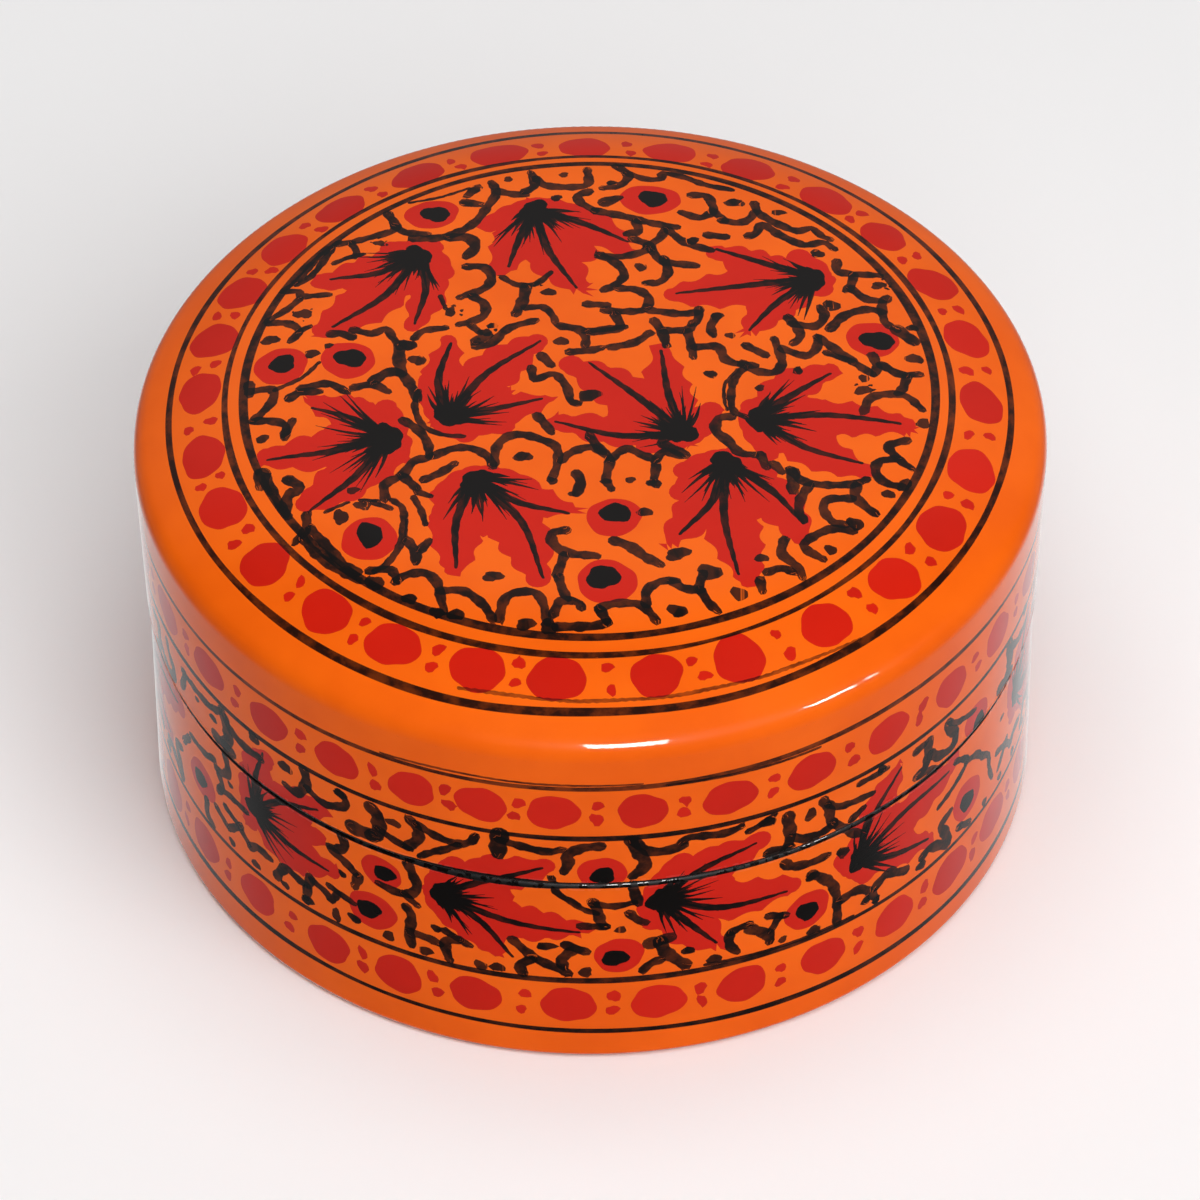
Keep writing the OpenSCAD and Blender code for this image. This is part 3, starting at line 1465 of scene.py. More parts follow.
TOP_BORDER_ANGLES = (
    265, 279, 291, 305, 318.5, 331, 343.7, 358, 12, 25, 38, 50, 64, 76.8,
    90.4, 104, 117.5, 131.6, 144, 155.5, 166.7, 178, 191.6, 202.8, 216, 229.2, 240.8, 253.7,
)

# Each row of a scroll is one pull of the brush: its width, then the x and y of each place that it runs through.
TOP_SCROLLS: tuple[Mark, ...] = (
    # Far left
    *scrolls(
        (1.2, -27, 36, -26, 33.5, -26.3, 32, -31, 30.3, -33.5, 30), (1.2, -26, 33, -24.5, 31.5, -21.5, 31),
        (1.2, -23.5, 30.2, -20, 30.2, -17, 31.5, -15, 33.5, -13.5, 36.5, -12.3, 39.5, -13, 42),
        (1.5, -18.5, 30.3, -16, 30, -15.2, 28.2, -16.3, 26.3), (1.4, -16.5, 37.5, -14.5, 37),
        (1.2, -12.3, 39.8, -10.2, 39, -8.2, 38.7), (1.2, -8.5, 39.5, -7.3, 40.5, -7.2, 42, -7.7, 44),
        (1.2, -7, 42.5, -5.5, 40.8, -2, 40.3, 0, 40.8, 0.2, 42.5, 0, 44.5), (0.5, -24, 38.2, -20, 39, -16, 40.7),
        (1.0, -31.8, 30, -31, 28, -31.2, 26.8), (0.8, -34, 25.8, -32, 26.8, -30, 27.3),
        (0.9, -33.5, 30.5, -36.5, 27, -38.5, 23.5, -41, 21), (1.0, -34.5, 29, -36, 25.5, -37.5, 23, -39, 22),
        (1.0, -40.5, 20.8, -38.8, 20.5, -38, 19.3, -34.5, 19.3), (1.0, -38.5, 18.8, -40.3, 16.8, -42.8, 15),
        (1.1, -42.5, 14.6, -40, 14, -38.5, 12.3, -39.7, 10.3), (0.9, -38.5, 12.2, -37, 13.2),
    ),
    pull(1.3, -34.2, 11.4, -33, 11.5, -31.5, 10.8, end=1.0),
    *scrolls(
        (1.1, -31.3, 12.2, -28.8, 11.3, -27, 12.2, -26, 10.5, -25, 8.5), (1.5, -25, 9, -25.2, 6.5, -24.8, 3.5),
    ),
    pull(1.0, -23.2, 10.3, -22, 11.7, -19, 12.2, end=1.0),
    *scrolls(
        (1.2, -31, 1, -28.5, 1.5, -26.5, 0), (1.4, -28.5, 2.2, -26.5, 3.7, -24.8, 3.3, -23.3, 0.5, -22.6, -1.5),
        (1.3, -39.5, -0.8, -38, 0.3, -35.5, 0.3), (1.2, -38, 1, -34.5, 1.8, -32, 0.2),
        (0.6, -41.5, 1, -38, 3, -35.7, 6), (1.2, -45, 1.2, -42, 1.2, -41.7, -0.8, -43, -3, -44.5, -4.5),
        (1.4, -45, 2.6, -44.8, 0.6), (1.2, -16.3, 24.3, -14, 24.2, -12.9, 22.3, -13.8, 20, -17.2, 18.2),
        (1.2, -15.5, 18.3, -13.9, 16.8, -14, 14.5, -16, 13.2, -17.3, 12.8), (1.0, -15.5, 12.5, -14.3, 11),
        (1.2, -15, 8.5, -13, 9, -10.5, 12, -7, 13.5), (1.3, -15, 9.6, -13.2, 10.6), (0.6, -19.7, 18.5, -19, 16),
        (0.9, -11.5, 22, -9.5, 20.5, -7, 20.7, -5, 23), (1.4, -8.3, 20, -8.7, 17.5, -9.7, 14.8),
        (1.0, -8.5, 16, -6, 16, -4.7, 14, -4.5, 13), (1.2, -3.7, 12.3, -1.5, 11.7, -0.5, 10.5, -0.5, 8.5),
        (1.2, -2.6, 7.2, 0, 7.5, 1.7, 8), (1.0, -0.5, 11.2, 1.5, 11.5, 4.8, 12), (1.3, -6.3, 6.5, -5, 4.7),
        (1.1, -7.7, 4.2, -7.2, 2, -4.7, 3, -3, 0.5, -2.5, -2.2, -1.5, -2.8),
        (1.2, 0.2, 39.3, -1.3, 38.5, -1, 37, 1, 35.3),
    ),
    # Far right
    *scrolls(
        (1.2, 4, 45.3, 5.5, 43, 4.5, 40.8, 2, 40),
        (1.1, 5.2, 43.5, 8, 42, 10, 42.2, 10.3, 43.5, 13, 42.8, 16, 41, 19.5, 40),
    ),
    pull(1.6, 2.3, 37, 4.5, 38, end=0.4),
    *scrolls(
        (1.2, 1, 35.3, 5, 34, 8, 32.8, 12, 31.8), (1.2, 6.5, 33, 6.8, 31, 5.2, 30.5),
        (1.2, 6, 29.5, 8.3, 27.8, 5, 26, 1.3, 26), (1.2, 8, 28, 9.7, 29.7, 10.3, 31.5),
        (1.2, 10.7, 31.2, 13, 28.7, 16.5, 27.1), (1.2, 1.5, 26.3, 3.8, 24.5, 4.8, 22.2, 3.5, 20.2, 2, 19.3),
        (1.2, 8.5, 27.3, 10, 25, 14.5, 24), (1.2, 10, 25.5, 10.6, 22.8, 9.5, 20.8, 7.5, 20.6),
        (1.2, 4, 19.6, 6.5, 19.2, 8, 17.5, 7.3, 15.3, 4.5, 15, 2, 15.3), (1.2, -0.3, 16.5, 2.5, 16.3),
        (1.2, 8, 15.2, 12, 14.5, 14.5, 14.8), (1.2, 14.7, 15.3, 14.5, 13.3, 13.7, 12.5),
        (1.2, 3.5, 14.5, 4, 11.8, 0, 11), (1.2, 3, 8, 6, 9, 8, 10.8), (1.2, 8.7, 13.2, 9.7, 11, 10.2, 8.3),
        (1.2, 10, 11.2, 13, 11.3, 14, 12.5), (1.2, 13, 11, 13.5, 8.5, 13.8, 6),
        (1.2, 14, 8, 17, 8, 18, 5.5, 20, 4.5, 22, 4.3), (1.2, 17, 14, 16.2, 12, 16.5, 10.2),
        (1.2, 20.7, 8.2, 23.3, 6.3), (1.2, 20.3, 4.8, 22, 3.3, 24.5, 3, 25.5, 5, 24.8, 8.3, 24.5, 9.5),
        (1.2, 25.5, 7.5, 28.5, 6.2, 30, 7.5, 30.3, 9.8), (1.2, 30.3, 9.8, 32.5, 7.5, 35.5, 4.3, 37.5, 2.5),
        (0.9, 31.3, 6.8, 35, 5), (1.2, 26.5, 13.7, 27.5, 12, 28, 10, 27, 8.6),
        (1.2, 27, 12.5, 30, 12, 31.3, 14, 30.7, 15.8), (1.3, 32, 11.5, 34, 14, 37, 15.3, 39, 15),
        (1.2, 39.8, 18, 39, 16.5, 39.3, 13, 41, 11.5), (1.8, 41, 11.5, 43, 9.5),
        (1.2, 33.3, 25, 33.3, 23, 35.5, 22.5, 39, 22.7), (1.2, 35.5, 22.3, 35, 20, 34.3, 19),
        (1.2, 35, 19.5, 37, 17.5, 39.3, 17.3),
        (1.2, 14, 38.5, 16, 38.3, 16.7, 36.5, 16.8, 35, 15, 33.7, 12.5, 34.8), (1.2, 16.8, 35, 18.5, 33),
        (1.2, 18, 33.2, 20, 32.7, 21.5, 33.3, 22.5, 35),
        (1.2, 22.5, 37, 23, 35, 25, 33, 28, 31.2, 30, 32, 31.3, 30.5, 32.5, 29.8),
        (1.2, 21.5, 30, 22.5, 30.5, 23.5, 32.3, 26, 30, 29, 28.2, 31.5, 29, 33, 27.7), (1.2, 16, 30.2, 18.5, 29.8),
        (1.0, 20.5, 4, 19, 1.5, 18.6, -2, 19, -4.5, 20.5, -5.5), (0.4, 19.6, 3.6, 17.9, 0.8, 17.7, -2.2, 18, -4.2),
        (1.2, 37.5, 6.3, 38, 4, 37.5, 2.5), (1.2, 38.5, 4.5, 41, 2.7, 43.7, 3), (1.2, 42, 2.5, 41.3, 0, 40.5, -1),
        (1.2, 36, -4.5, 37, -2, 39.5, -1.2, 41.8, -1.5, 43.8, -3.7),
    ),
    # Near left
    *scrolls(
        (1.2, -44, -4.5, -41.5, -5, -40, -6, -40, -8.3), (1.2, -40, -7.5, -39, -5), (2.0, -43, -14.5, -43, -16.5),
        (1.2, -42.5, -15, -41, -19, -39.3, -22.5), (1.5, -39.5, -16, -38, -17.5, -39.5, -19, -39.7, -22),
        (1.2, -37, -22.5, -37, -25, -38.5, -27), (1.2, -37.5, -26.5, -35.5, -29.5, -33, -32, -30, -34.5),
        (1.2, -36.5, -25, -34, -28.5, -32, -31.5, -30, -33), (0.9, -28.3, -20.8, -26, -22),
        (0.5, -34.5, -22.3, -31.5, -20.7), (0.5, -30, -20.3, -27.5, -20.5),
        (0.9, -25.8, -20.5, -24.5, -22, -24.3, -25, -24.8, -29, -26.5, -32, -28, -33),
        (0.35, -23.9, -24, -24.1, -28), (0.8, -23, -20, -22, -22.5, -21.5, -25), (0.9, -22.5, -19, -20.8, -19.8),
        (1.3, -23.8, -28, -22.8, -30, -22.7, -32), (1.2, -22, -29.5, -21, -28),
        (1.2, -26.8, -20, -26.8, -17.5, -24.5, -15.7, -23, -13.3,
         -21, -12.6, -18, -11, -15.5, -11, -13.5, -12.5, -12.7, -14.5),
        (1.2, -24.5, -16, -22.7, -18.3), (1.2, -21.7, -16.8, -19.5, -15.5, -17.7, -13.8),
        (1.2, -24.5, -5.5, -22.5, -7.5, -21.3, -10, -21, -12.5),
        (0.8, -22.5, 0, -23, -3, -22, -6.5, -19.5, -8.3, -16.5, -8.7),
        (1.2, -12.5, -14, -12.3, -11, -11, -9, -9, -8.5, -6.5, -9.5, -4.5, -11, -4.3, -14, -5, -17),
        (1.2, -3.8, -13.5, -2.5, -12, 0, -11, 1.5, -12), (1.3, -1.8, -16, -1.3, -17.5, -1.8, -19.7),
        (1.2, -7, -5, -6, -6.5, -5, -8.3), (1.3, -3.3, -26.5, -5, -27, -4.8, -29, -2.8, -30.7, 0.8, -31.3),
        (1.2, -3.5, -31, -4.2, -33.5, -4.5, -34.5), (1.2, -4.3, -35, -3.7, -37.5, -3, -39),
        (1.2, -5, -41.5, -4, -39.3, -2, -39.5, -1.3, -40.5),
        (1.2, -25.3, -35, -24, -34, -21.5, -33.8, -20, -35.5, -19.5, -38, -19, -40.5),
        (1.2, -19.5, -37, -16.5, -37.2, -14, -39.5, -12.7, -42),
        (1.2, -12, -42, -11.3, -39, -10, -37.8, -7.5, -37.7, -6.3, -39.5, -5.7, -43),
        (1.2, -28.7, -33, -26, -33, -25, -35), (1.3, -4.5, -43.5, 0, -43.5, 2, -43),
    ),
    # Near right
    *scrolls(
        (1.2, 0, -9, 1.3, -11.5, 2.5, -13.5, 2, -17, 2.7, -19),
        (1.2, 2.5, -13.5, 4.7, -11.5, 6.5, -12.5, 8.5, -14, 8.3, -17.5), (1.2, 8.5, -13.5, 9.7, -12, 12, -13),
        (1.4, 9.5, -10.5, 12.5, -12.7), (1.3, 18.5, -5.5, 17, -5.8, 16.5, -8, 18, -10, 19.5, -12.3, 21.5, -12.8),
        (1.2, 22.3, -12.7, 23, -15), (1.2, 24, -14.5, 25, -16),
        (1.2, 26, -15.5, 27.5, -17.5, 30, -18.3, 34, -18.2, 36, -17.3), (1.5, 26.5, -16, 26.3, -19.5),
        (1.2, 28.5, -18.5, 27.3, -21, 27, -23.5, 27.7, -25), (1.3, 34.7, -18.5, 34.5, -20.5, 36, -22.5, 37, -23.3),
        (1.2, 34, -20.8, 31, -21, 30.2, -22.7, 31.3, -25, 33, -25.5),
        (1.2, 34, -26.5, 31, -26.5, 27.8, -28.8, 28, -30.3, 30, -31.7),
        (1.2, 41.5, -9.7, 39, -11, 40.5, -13.5, 42, -14.7),
        (1.2, 40, -13.2, 37.7, -14, 37.3, -16, 38.5, -17.7, 41, -18.3), (1.2, 41.3, -17.3, 40.3, -18.5),
        (1.2, 25, -28.5, 24.7, -31, 26.5, -33, 27.3, -35), (1.2, 22.7, -34.3, 24.5, -33.5, 26, -34),
        (1.2, 21.7, -35.7, 22, -37.5), (1.4, 3, -28.5, 5, -29.5, 7, -31.5, 9, -33),
        (1.2, 7, -40, 7.2, -37.5, 9, -36, 11, -35.8), (1.2, 10.5, -36, 12, -37.2, 14, -37.5),
        (1.2, 13.7, -37.5, 14.5, -34.5), (1.2, 14, -37.5, 15, -39.5, 16.3, -41),
        (1.2, 1, -40.5, 3, -39.8, 6, -40, 7.5, -41.5, 8.3, -42.8), (1.2, 1, -40.7, 2, -43),
    ),
    # Dabs between the scrolls
    *small_dabs(
        (-3.2, 43.2, 0.7), (-10.7, 42.5, 0.7), (-15.5, 40, 1.8, 0.9, 60), (-4.2, 38, 0.8), (-42.3, 11, 1.2, 1.0),
        (-36.7, 7.7, 1.0), (-34.5, 9.2, 0.6), (-24, 9, 1.3, 1.0), (-22.7, 6, 1.2, 1.0), (-5.3, 19, 1.0, 0.8),
        (-3.7, 9.3, 1.0), (0, -1.2, 1.5, 1.2), (3.3, 41.2, 0.7), (14, 29, 0.9), (7, 23.8, 0.9), (17, 14, 0.9),
        (18.7, 10.2, 0.7), (16, 2.7, 0.9), (27.5, 3.3, 0.8), (22.4, 0, 0.7), (32.3, 16, 1.3, 1.0), (43, 12.2, 0.8),
        (19.8, 37, 1.3, 1.0), (25.7, 35.2, 1.0, 0.7), (30.7, 26.5, 1.1, 0.8), (43, 6, 1.2, 1.0), (36.2, 1.8, 0.8),
        (-43, -8, 0.9), (-32.5, -23.3, 1.4, 1.0, 80), (-29.7, -21.3, 1.1, 0.9), (-31, -18.5, 0.8), (-5, -17.3, 0.8),
        (-8.8, -12.7, 1.2, 1.0), (-2.2, -19.8, 0.7), (-12.7, -34.7, 1.3, 1.0), (-23.5, -38, 1.0), (-17.5, -41, 1.1),
        (-20, -40.5, 1.0), (-8.5, -43, 1.2), (-28, -35, 1.3), (-5.5, -43.5, 1.3), (8.3, -18, 1.0),
        (5.2, -17.3, 0.7), (2, -17.5, 0.7), (34.3, -25.3, 1.2), (38.8, -19.7, 0.9), (31, -30, 0.9),
        (22, -31.8, 0.9), (19, -38, 1.2), (7, -23.3, 1.0), (11.2, -31, 1.6, 1.2, 20), (15.3, -34.3, 1.7, 1.3),
        (11, -41, 1.4, 1.0), (43.8, -6.3, 1.0), (-12.8, 12.5, 0.7),
    ),
    *splatter((-38, 15.7), 1.2), *splatter((38.7, 20.5), 1.0), *splatter((36, -0.5), 1.1),
    *splatter((-18.4, 15.3), 0.9), *splatter((-28, 29.5), 0.75), *splatter((-13.8, 11.2), 0.9, 5),
    *splatter((-6.8, 20.9), 0.5, 5),
)


# The side's painting is drawn once for the front and repeated three times round.
# Its places are given in degrees from the front and in millimetres above the table.
SIDE_LEAVES = (
    Leaf(
        (-49, 27), (Lobe((-45, 40.5), (-46, 40), 6.0, 0.05), Lobe((-35, 37), (-37, 35.5), 7.0, 0.05),
        Lobe((-34.5, 24.5), (-36, 24.3), 6.2, -0.05), Lobe((-40, 20.5), None, 5.6, -0.04)), ((-51, 32), (-50, 22.5),
        (-36, 30)), 2.1, 0.4, 21,
    ),
    Leaf(
        (-20, 28), (Lobe((-5, 37.5), (-6.5, 36.3), 7.0, 0.05), Lobe((-1, 24), (-2, 24), 6.4, -0.04),
        Lobe((-12, 18.2), (-10.5, 18.5), 6.8, 0.04)), ((-18, 22), (-12, 37.5), (-17, 36)), 2.1, 0.5, 22,
    ),
    Leaf(
        (8, 29.5), (Lobe((22, 38), (20.5, 37), 7.0, 0.05), Lobe((27, 26), (25, 25.5), 6.6, -0.04),
        Lobe((16, 18), (15.5, 19.5), 6.8, -0.03)), ((7, 24), (11.5, 38), (15.5, 38)), 2.2, 0.45, 23,
    ),
    Leaf(
        (35.5, 25.5), (Lobe((42, 40), (42, 39), 6.4, 0.05), Lobe((54, 30.5), (52, 30), 6.8, 0.04),
        Lobe((49, 20), (48, 20.5), 6.2, -0.04)), ((38, 35), (37.5, 20.5), (32, 28)), 2.2, 0.4, 24,
    ),
)

SIDE_BERRIES = (
    Berry((-28, 28.5), (3, 2.8), (-27.5, 28.5), (1.4, 1.3)),
    Berry((-29.5, 20.5), (3.6, 3.4), (-30, 20.5), (1.6, 1.5)),
    Berry((3, 19.5), (3.3, 3.2), (2.5, 19), (1.5, 1.4)),
    Berry((28, 20.5), (3.4, 3.3), (28, 20.3), (1.5, 1.5)),
    Berry((56.5, 21), (3.5, 3.4), (56.5, 20.5), (1.6, 1.5)),
    Berry((1, 35.5), (3.2, 3.1), (1, 35), (1.5, 1.4)),
    Berry((57.5, 35.5), (3, 3), (58.2, 34.2), (1.4, 1.4)),
)

SIDE_SCROLLS: tuple[Mark, ...] = (
    # Over the seam, left to right
    *scrolls(
        (1.1, -64, 39.8, -57, 39.8, -54, 41.3), (1.1, -63.5, 40, -64, 38, -65, 36),
        (1.3, -54, 41.5, -52.5, 39.5, -50, 38.5, -46.5, 38.5), (1.8, -53.5, 40.5, -53, 37, -54, 35),
        (1.6, -56, 35, -52.5, 34.8), (1.3, -38.8, 42, -38.5, 40, -39, 38.5, -40.5, 36.5, -42.3, 36.8),
        (1.1, -38.5, 38.7, -36, 37.5, -33, 38.7, -32.5, 40, -33.5, 41.3),
        (1.7, -28.7, 40.8, -27.8, 39.5, -27.9, 36.5, -29, 35.2), (2.0, -31.5, 35.5, -29, 35.5),
        (1.0, -27.8, 37.2, -25.5, 36, -23.5, 35.3), (1.3, -23.3, 41, -22.3, 39.5, -22.5, 37.5, -24, 35.6),
        (1.1, -22.5, 40.6, -20, 39.3, -17.5, 38.7, -15.5, 39.5, -14.8, 41),
        (0.9, -17, 38.5, -19, 37, -21, 35.7, -22.3, 34.5), (1.8, -11.7, 42, -12, 40.3, -12, 38),
        (1.1, -11.8, 41, -9, 40.2, -6, 39.5, -4, 40),
        (1.3, 0.7, 40.8, -1.5, 40.5, -3.3, 39, -3.2, 37.5, -3.8, 35.7),
        (1.4, 4.5, 41.7, 5.3, 39.5, 6.3, 37.5, 6, 36, 4.7, 34.7), (1.3, 5, 41.5, 6.5, 39.5, 8.5, 39, 11.2, 39.5),
        (1.1, 11, 40.3, 12, 41, 16.3, 40.5, 18.5, 41), (0.9, 19.5, 39.7, 21, 40.3, 23, 41.5),
        (1.4, 24.8, 40.3, 24.9, 38.5, 25.2, 36.5, 25, 35, 24.5, 33.5), (1.6, 22.5, 34.3, 25, 34),
        (1.2, 25.3, 36, 27.5, 34.7, 29.5, 34.5, 31, 35), (1.2, 29.8, 40.7, 30.7, 38.5, 31, 36, 31.5, 35),
        (1.0, 30.5, 39.5, 32.5, 38, 37.5, 37.4), (1.2, 31.3, 35.5, 33, 33.5, 34.7, 31.3, 36.5, 30),
        (1.1, 34.3, 34.5, 36, 35.5), (0.9, 35.2, 40.6, 39.7, 40.5), (1.2, 44.7, 40, 46.5, 40.3),
        (1.4, 47, 40, 47, 37.5, 46.5, 35.5, 45, 35),
        (1.3, 47.3, 37.3, 49.5, 35.3, 52, 35, 52.5, 37, 51, 39, 50.7, 40.5), (0.9, 51, 40.3, 53, 38.7, 57, 37.5),
        (1.0, 45.5, 34.7, 47.5, 34.2, 49.3, 32.5),
    ),
    *small_dabs(
        (-60.3, 38, 0.6), (-56.3, 38, 1.1, 0.6), (-47.5, 41.7, 1.2, 1.0), (-42, 40.3, 1.2), (-33.2, 41, 1.0),
        (-25.7, 39.4, 1.1, 0.8), (22, 40.5, 1.2), (28, 39, 1.3, 0.8, 90), (38.7, 41, 0.9),
    ),
    # Under the seam, left to right
    *scrolls(
        (1.0, -57.5, 29, -60, 28, -64, 27.7), (1.0, -64.5, 26.5, -66.5, 24.2),
        (1.2, -54.7, 32, -54.2, 29.5, -55.3, 28.2, -57, 27.7), (1.1, -56.5, 27, -55.8, 25.5, -56.8, 23.5),
        (1.0, -56.5, 24.3, -54, 25, -50.5, 25), (1.0, -55.2, 22, -52.5, 21),
        (1.0, -51.8, 21.3, -53.5, 19.5, -54.7, 18.2), (1.0, -52, 20.5, -50.3, 19),
        (1.2, -50, 18.7, -48.5, 19.7, -46, 19.5), (1.1, -60, 19, -60, 16.5, -58.5, 15.5),
        (1.0, -57.5, 20, -55, 18.5), (1.2, -45, 17, -44, 19, -43, 20, -41, 19.3, -39.5, 19.2),
        (1.2, -39, 21, -39.5, 19, -40, 16.5), (1.0, -38.8, 20.8, -36.5, 19.8, -35.7, 18.8, -34.6, 20.8),
        (0.9, -36, 21.5, -32.2, 20.3), (1.2, -33.5, 32, -33.3, 30.5, -34.5, 29.3, -35.8, 29.2),
        (1.2, -35.3, 28.7, -33, 27.3, -31.7, 26), (1.2, -31.3, 26, -32, 23.8),
        (1.2, -24.2, 32, -23.5, 30, -23, 28, -24, 26.3, -26, 25.8, -28.5, 26.2), (1.0, -24.8, 26, -23, 24.5),
        (1.2, -24.5, 23.5, -23.8, 22, -24.2, 19, -24, 16.5), (1.2, -24, 19, -21.5, 18.8, -20, 18.3),
        (1.0, -19.2, 21, -17, 19.8, -16, 19.3), (1.2, -17.5, 20, -19, 19.3, -19.3, 18, -18.8, 15.7),
        (1.2, -10.5, 21.7, -8.5, 19.5, -7, 18.3, -4.8, 17, -3.5, 16.2), (1.2, -8, 18.5, -9.5, 17, -9.2, 15.5),
        (1.2, -3.7, 21.5, -1.2, 20.3), (1.3, -3, 20.5, -4.3, 18.7, -4, 17.3),
        (0.8, -5.3, 34.5, -4.8, 31.5, -3, 29.8, -1.5, 28.3, 0.3, 27.5),
        (1.2, -0.3, 29.7, 0.3, 28, 0.7, 26, 1.3, 25), (1.0, -1.8, 25.2, 1.5, 25),
        (0.9, 0, 29.3, 2.5, 28.8, 5, 29.3), (1.2, 4.7, 33, 5, 31, 5.5, 29), (1.1, 4.3, 27.3, 5.3, 26, 6.3, 25.3),
        (1.6, 7, 21.3, 9.5, 22), (1.5, 8.2, 21.5, 8.8, 19.5, 10, 18, 11.5, 16.5), (1.1, 8.2, 18, 7, 17.5, 6, 16.3),
        (1.0, 17.3, 20.7, 18.5, 21.2, 20, 21.5), (1.1, 17.2, 20.5, 17.2, 18.5, 18.3, 16.7),
        (1.4, 20, 20.5, 21.5, 19.3, 22.5, 18.3, 22.7, 17), (1.0, 22.5, 22, 25, 21), (1.0, 24, 21.3, 22.8, 19),
        (1.2, 24.7, 31, 25.5, 30, 28, 29.2, 31, 29.3),
        (1.2, 28.5, 27, 30, 25.5, 31.5, 23.5, 32.3, 21, 32.5, 18.5, 32.5, 15.5),
        (1.2, 33, 19.5, 35.5, 19.8, 37.5, 18.3, 38.7, 16), (1.3, 38.5, 18.5, 40.5, 19.6, 42, 18.7, 43.8, 17.8),
        (1.0, 54.5, 17.2, 57.3, 15.7),
        (1.3, 47, 18, 48.5, 18.5, 50.5, 17.3, 52.3, 16.3, 51.7, 18.5, 50.7, 20.8, 52.7, 22),
        (0.9, 53.5, 30.5, 55.5, 29.3, 56, 28, 53, 26, 50, 24.8),
        (0.9, 56, 28.3, 58.5, 27.5, 60.3, 25.5, 62, 24, 62.5, 21, 63.5, 18.5),
    ),
    *small_dabs(
        (-53.8, 27.3, 0.7, 0.5), (-54, 16.3, 0.8), (-49, 16.2, 0.9), (-43.5, 16.5, 0.8), (-39.7, 16.3, 1.1),
        (-35, 16.5, 1.2, 0.8, 90), (-32.2, 17.5, 1.1, 0.8), (-27.2, 16.8, 1.0), (-33.8, 25, 0.7),
        (-20.5, 21.1, 0.8), (-22, 16.2, 1.0), (-14.7, 15.9, 1.0), (-12.5, 16.1, 1.0), (-6.2, 21.1, 1.3, 0.8),
        (-1.3, 16.4, 1.0), (3.2, 24.3, 0.9, 0.6), (11.8, 19, 0.9), (15.2, 16.5, 1.0), (33.2, 28.5, 1.1),
        (28.7, 26.5, 1.0), (37, 17, 0.9), (38.7, 15.9, 0.8), (24.5, 16.6, 0.7), (29, 16.2, 1.0), (46.7, 16.5, 1.0),
        (61.3, 15.9, 0.8),
    ),
)

LID_DAB_DEGREES = (-68, -56.5, -44.5, -33.5, -23, -14, -5, 6, 17, 28, 39.5, 51, 62)
BASE_DAB_DEGREES = (-61, -49, -36.5, -26, -15.5, -3.5, 8, 19, 30.5, 42, 53, 64)


def moved(mark: Mark, place: Callable[[Point], Point], bolder: float = 1.0) -> Mark:
    """Moves a mark.

    Args:
        mark: A stroke or a dab.
        place: Gives the new place of a point.
        bolder: How many times wider a stroke becomes.

    Returns:
        The mark somewhere else.
    """
    if isinstance(mark, Stroke):
        return replace(mark, points=tuple(map(place, mark.points)), width=mark.width * bolder)
    return replace(mark, centre=place(mark.centre))


def moved_leaf(leaf: Leaf, place: Callable[[Point], Point], seed: int) -> Leaf:
    """The same leaf somewhere else, with hairs of its own."""
    lobes = tuple(replace(l, tip=place(l.tip), vein=place(l.vein) if l.vein else None) for l in leaf.lobes)
    return replace(leaf, heart=place(leaf.heart), lobes=lobes, minor=tuple(map(place, leaf.minor)), seed=seed)


def red_dab(draw: random.Random, centre: Point, rx: float, ry: float, turn: float, wobble: float = 0.045) -> Dab:
    """A red dab with a tone of its own."""
    return Dab(centre, rx, ry, turn, wobble=wobble, pigment=Pigment.RED, tone=draw.random())


def lines_round(radius: float, *rows: tuple[float, float, tuple[Point, ...]]) -> list[Mark]:
    """Thin lines on a hoop, beside its bands.

    Args:
        radius: The hoop's radius.
        *rows: Width, load, and places in degrees and millimetres up.

    Returns:
        One stroke for each row.
    """
    marks: list[Mark] = []
    for width, load, line in rows:
        points = tuple((math.radians(angle) * radius, z) for angle, z in line)
        marks.append(Stroke(points, width=width, rough=0.05, load=load))
    return marks


def border_place(angle: float, out: float = 0.0) -> Point:
    """A place in the middle of the crown's dotted border, which was painted a little off centre.

    Args:
        angle: Angle from the x axis, in radians.
        out: Distance outward from the border's middle.

    Returns:
        The place on the crown's sheet.
    """
    r = 51.9 - 0.3 * math.sin(angle) - 0.65 * math.sin(angle) ** 2 + out
    a = angle + 0.024 * math.cos(angle)
    return r * math.cos(a), r * math.sin(a)


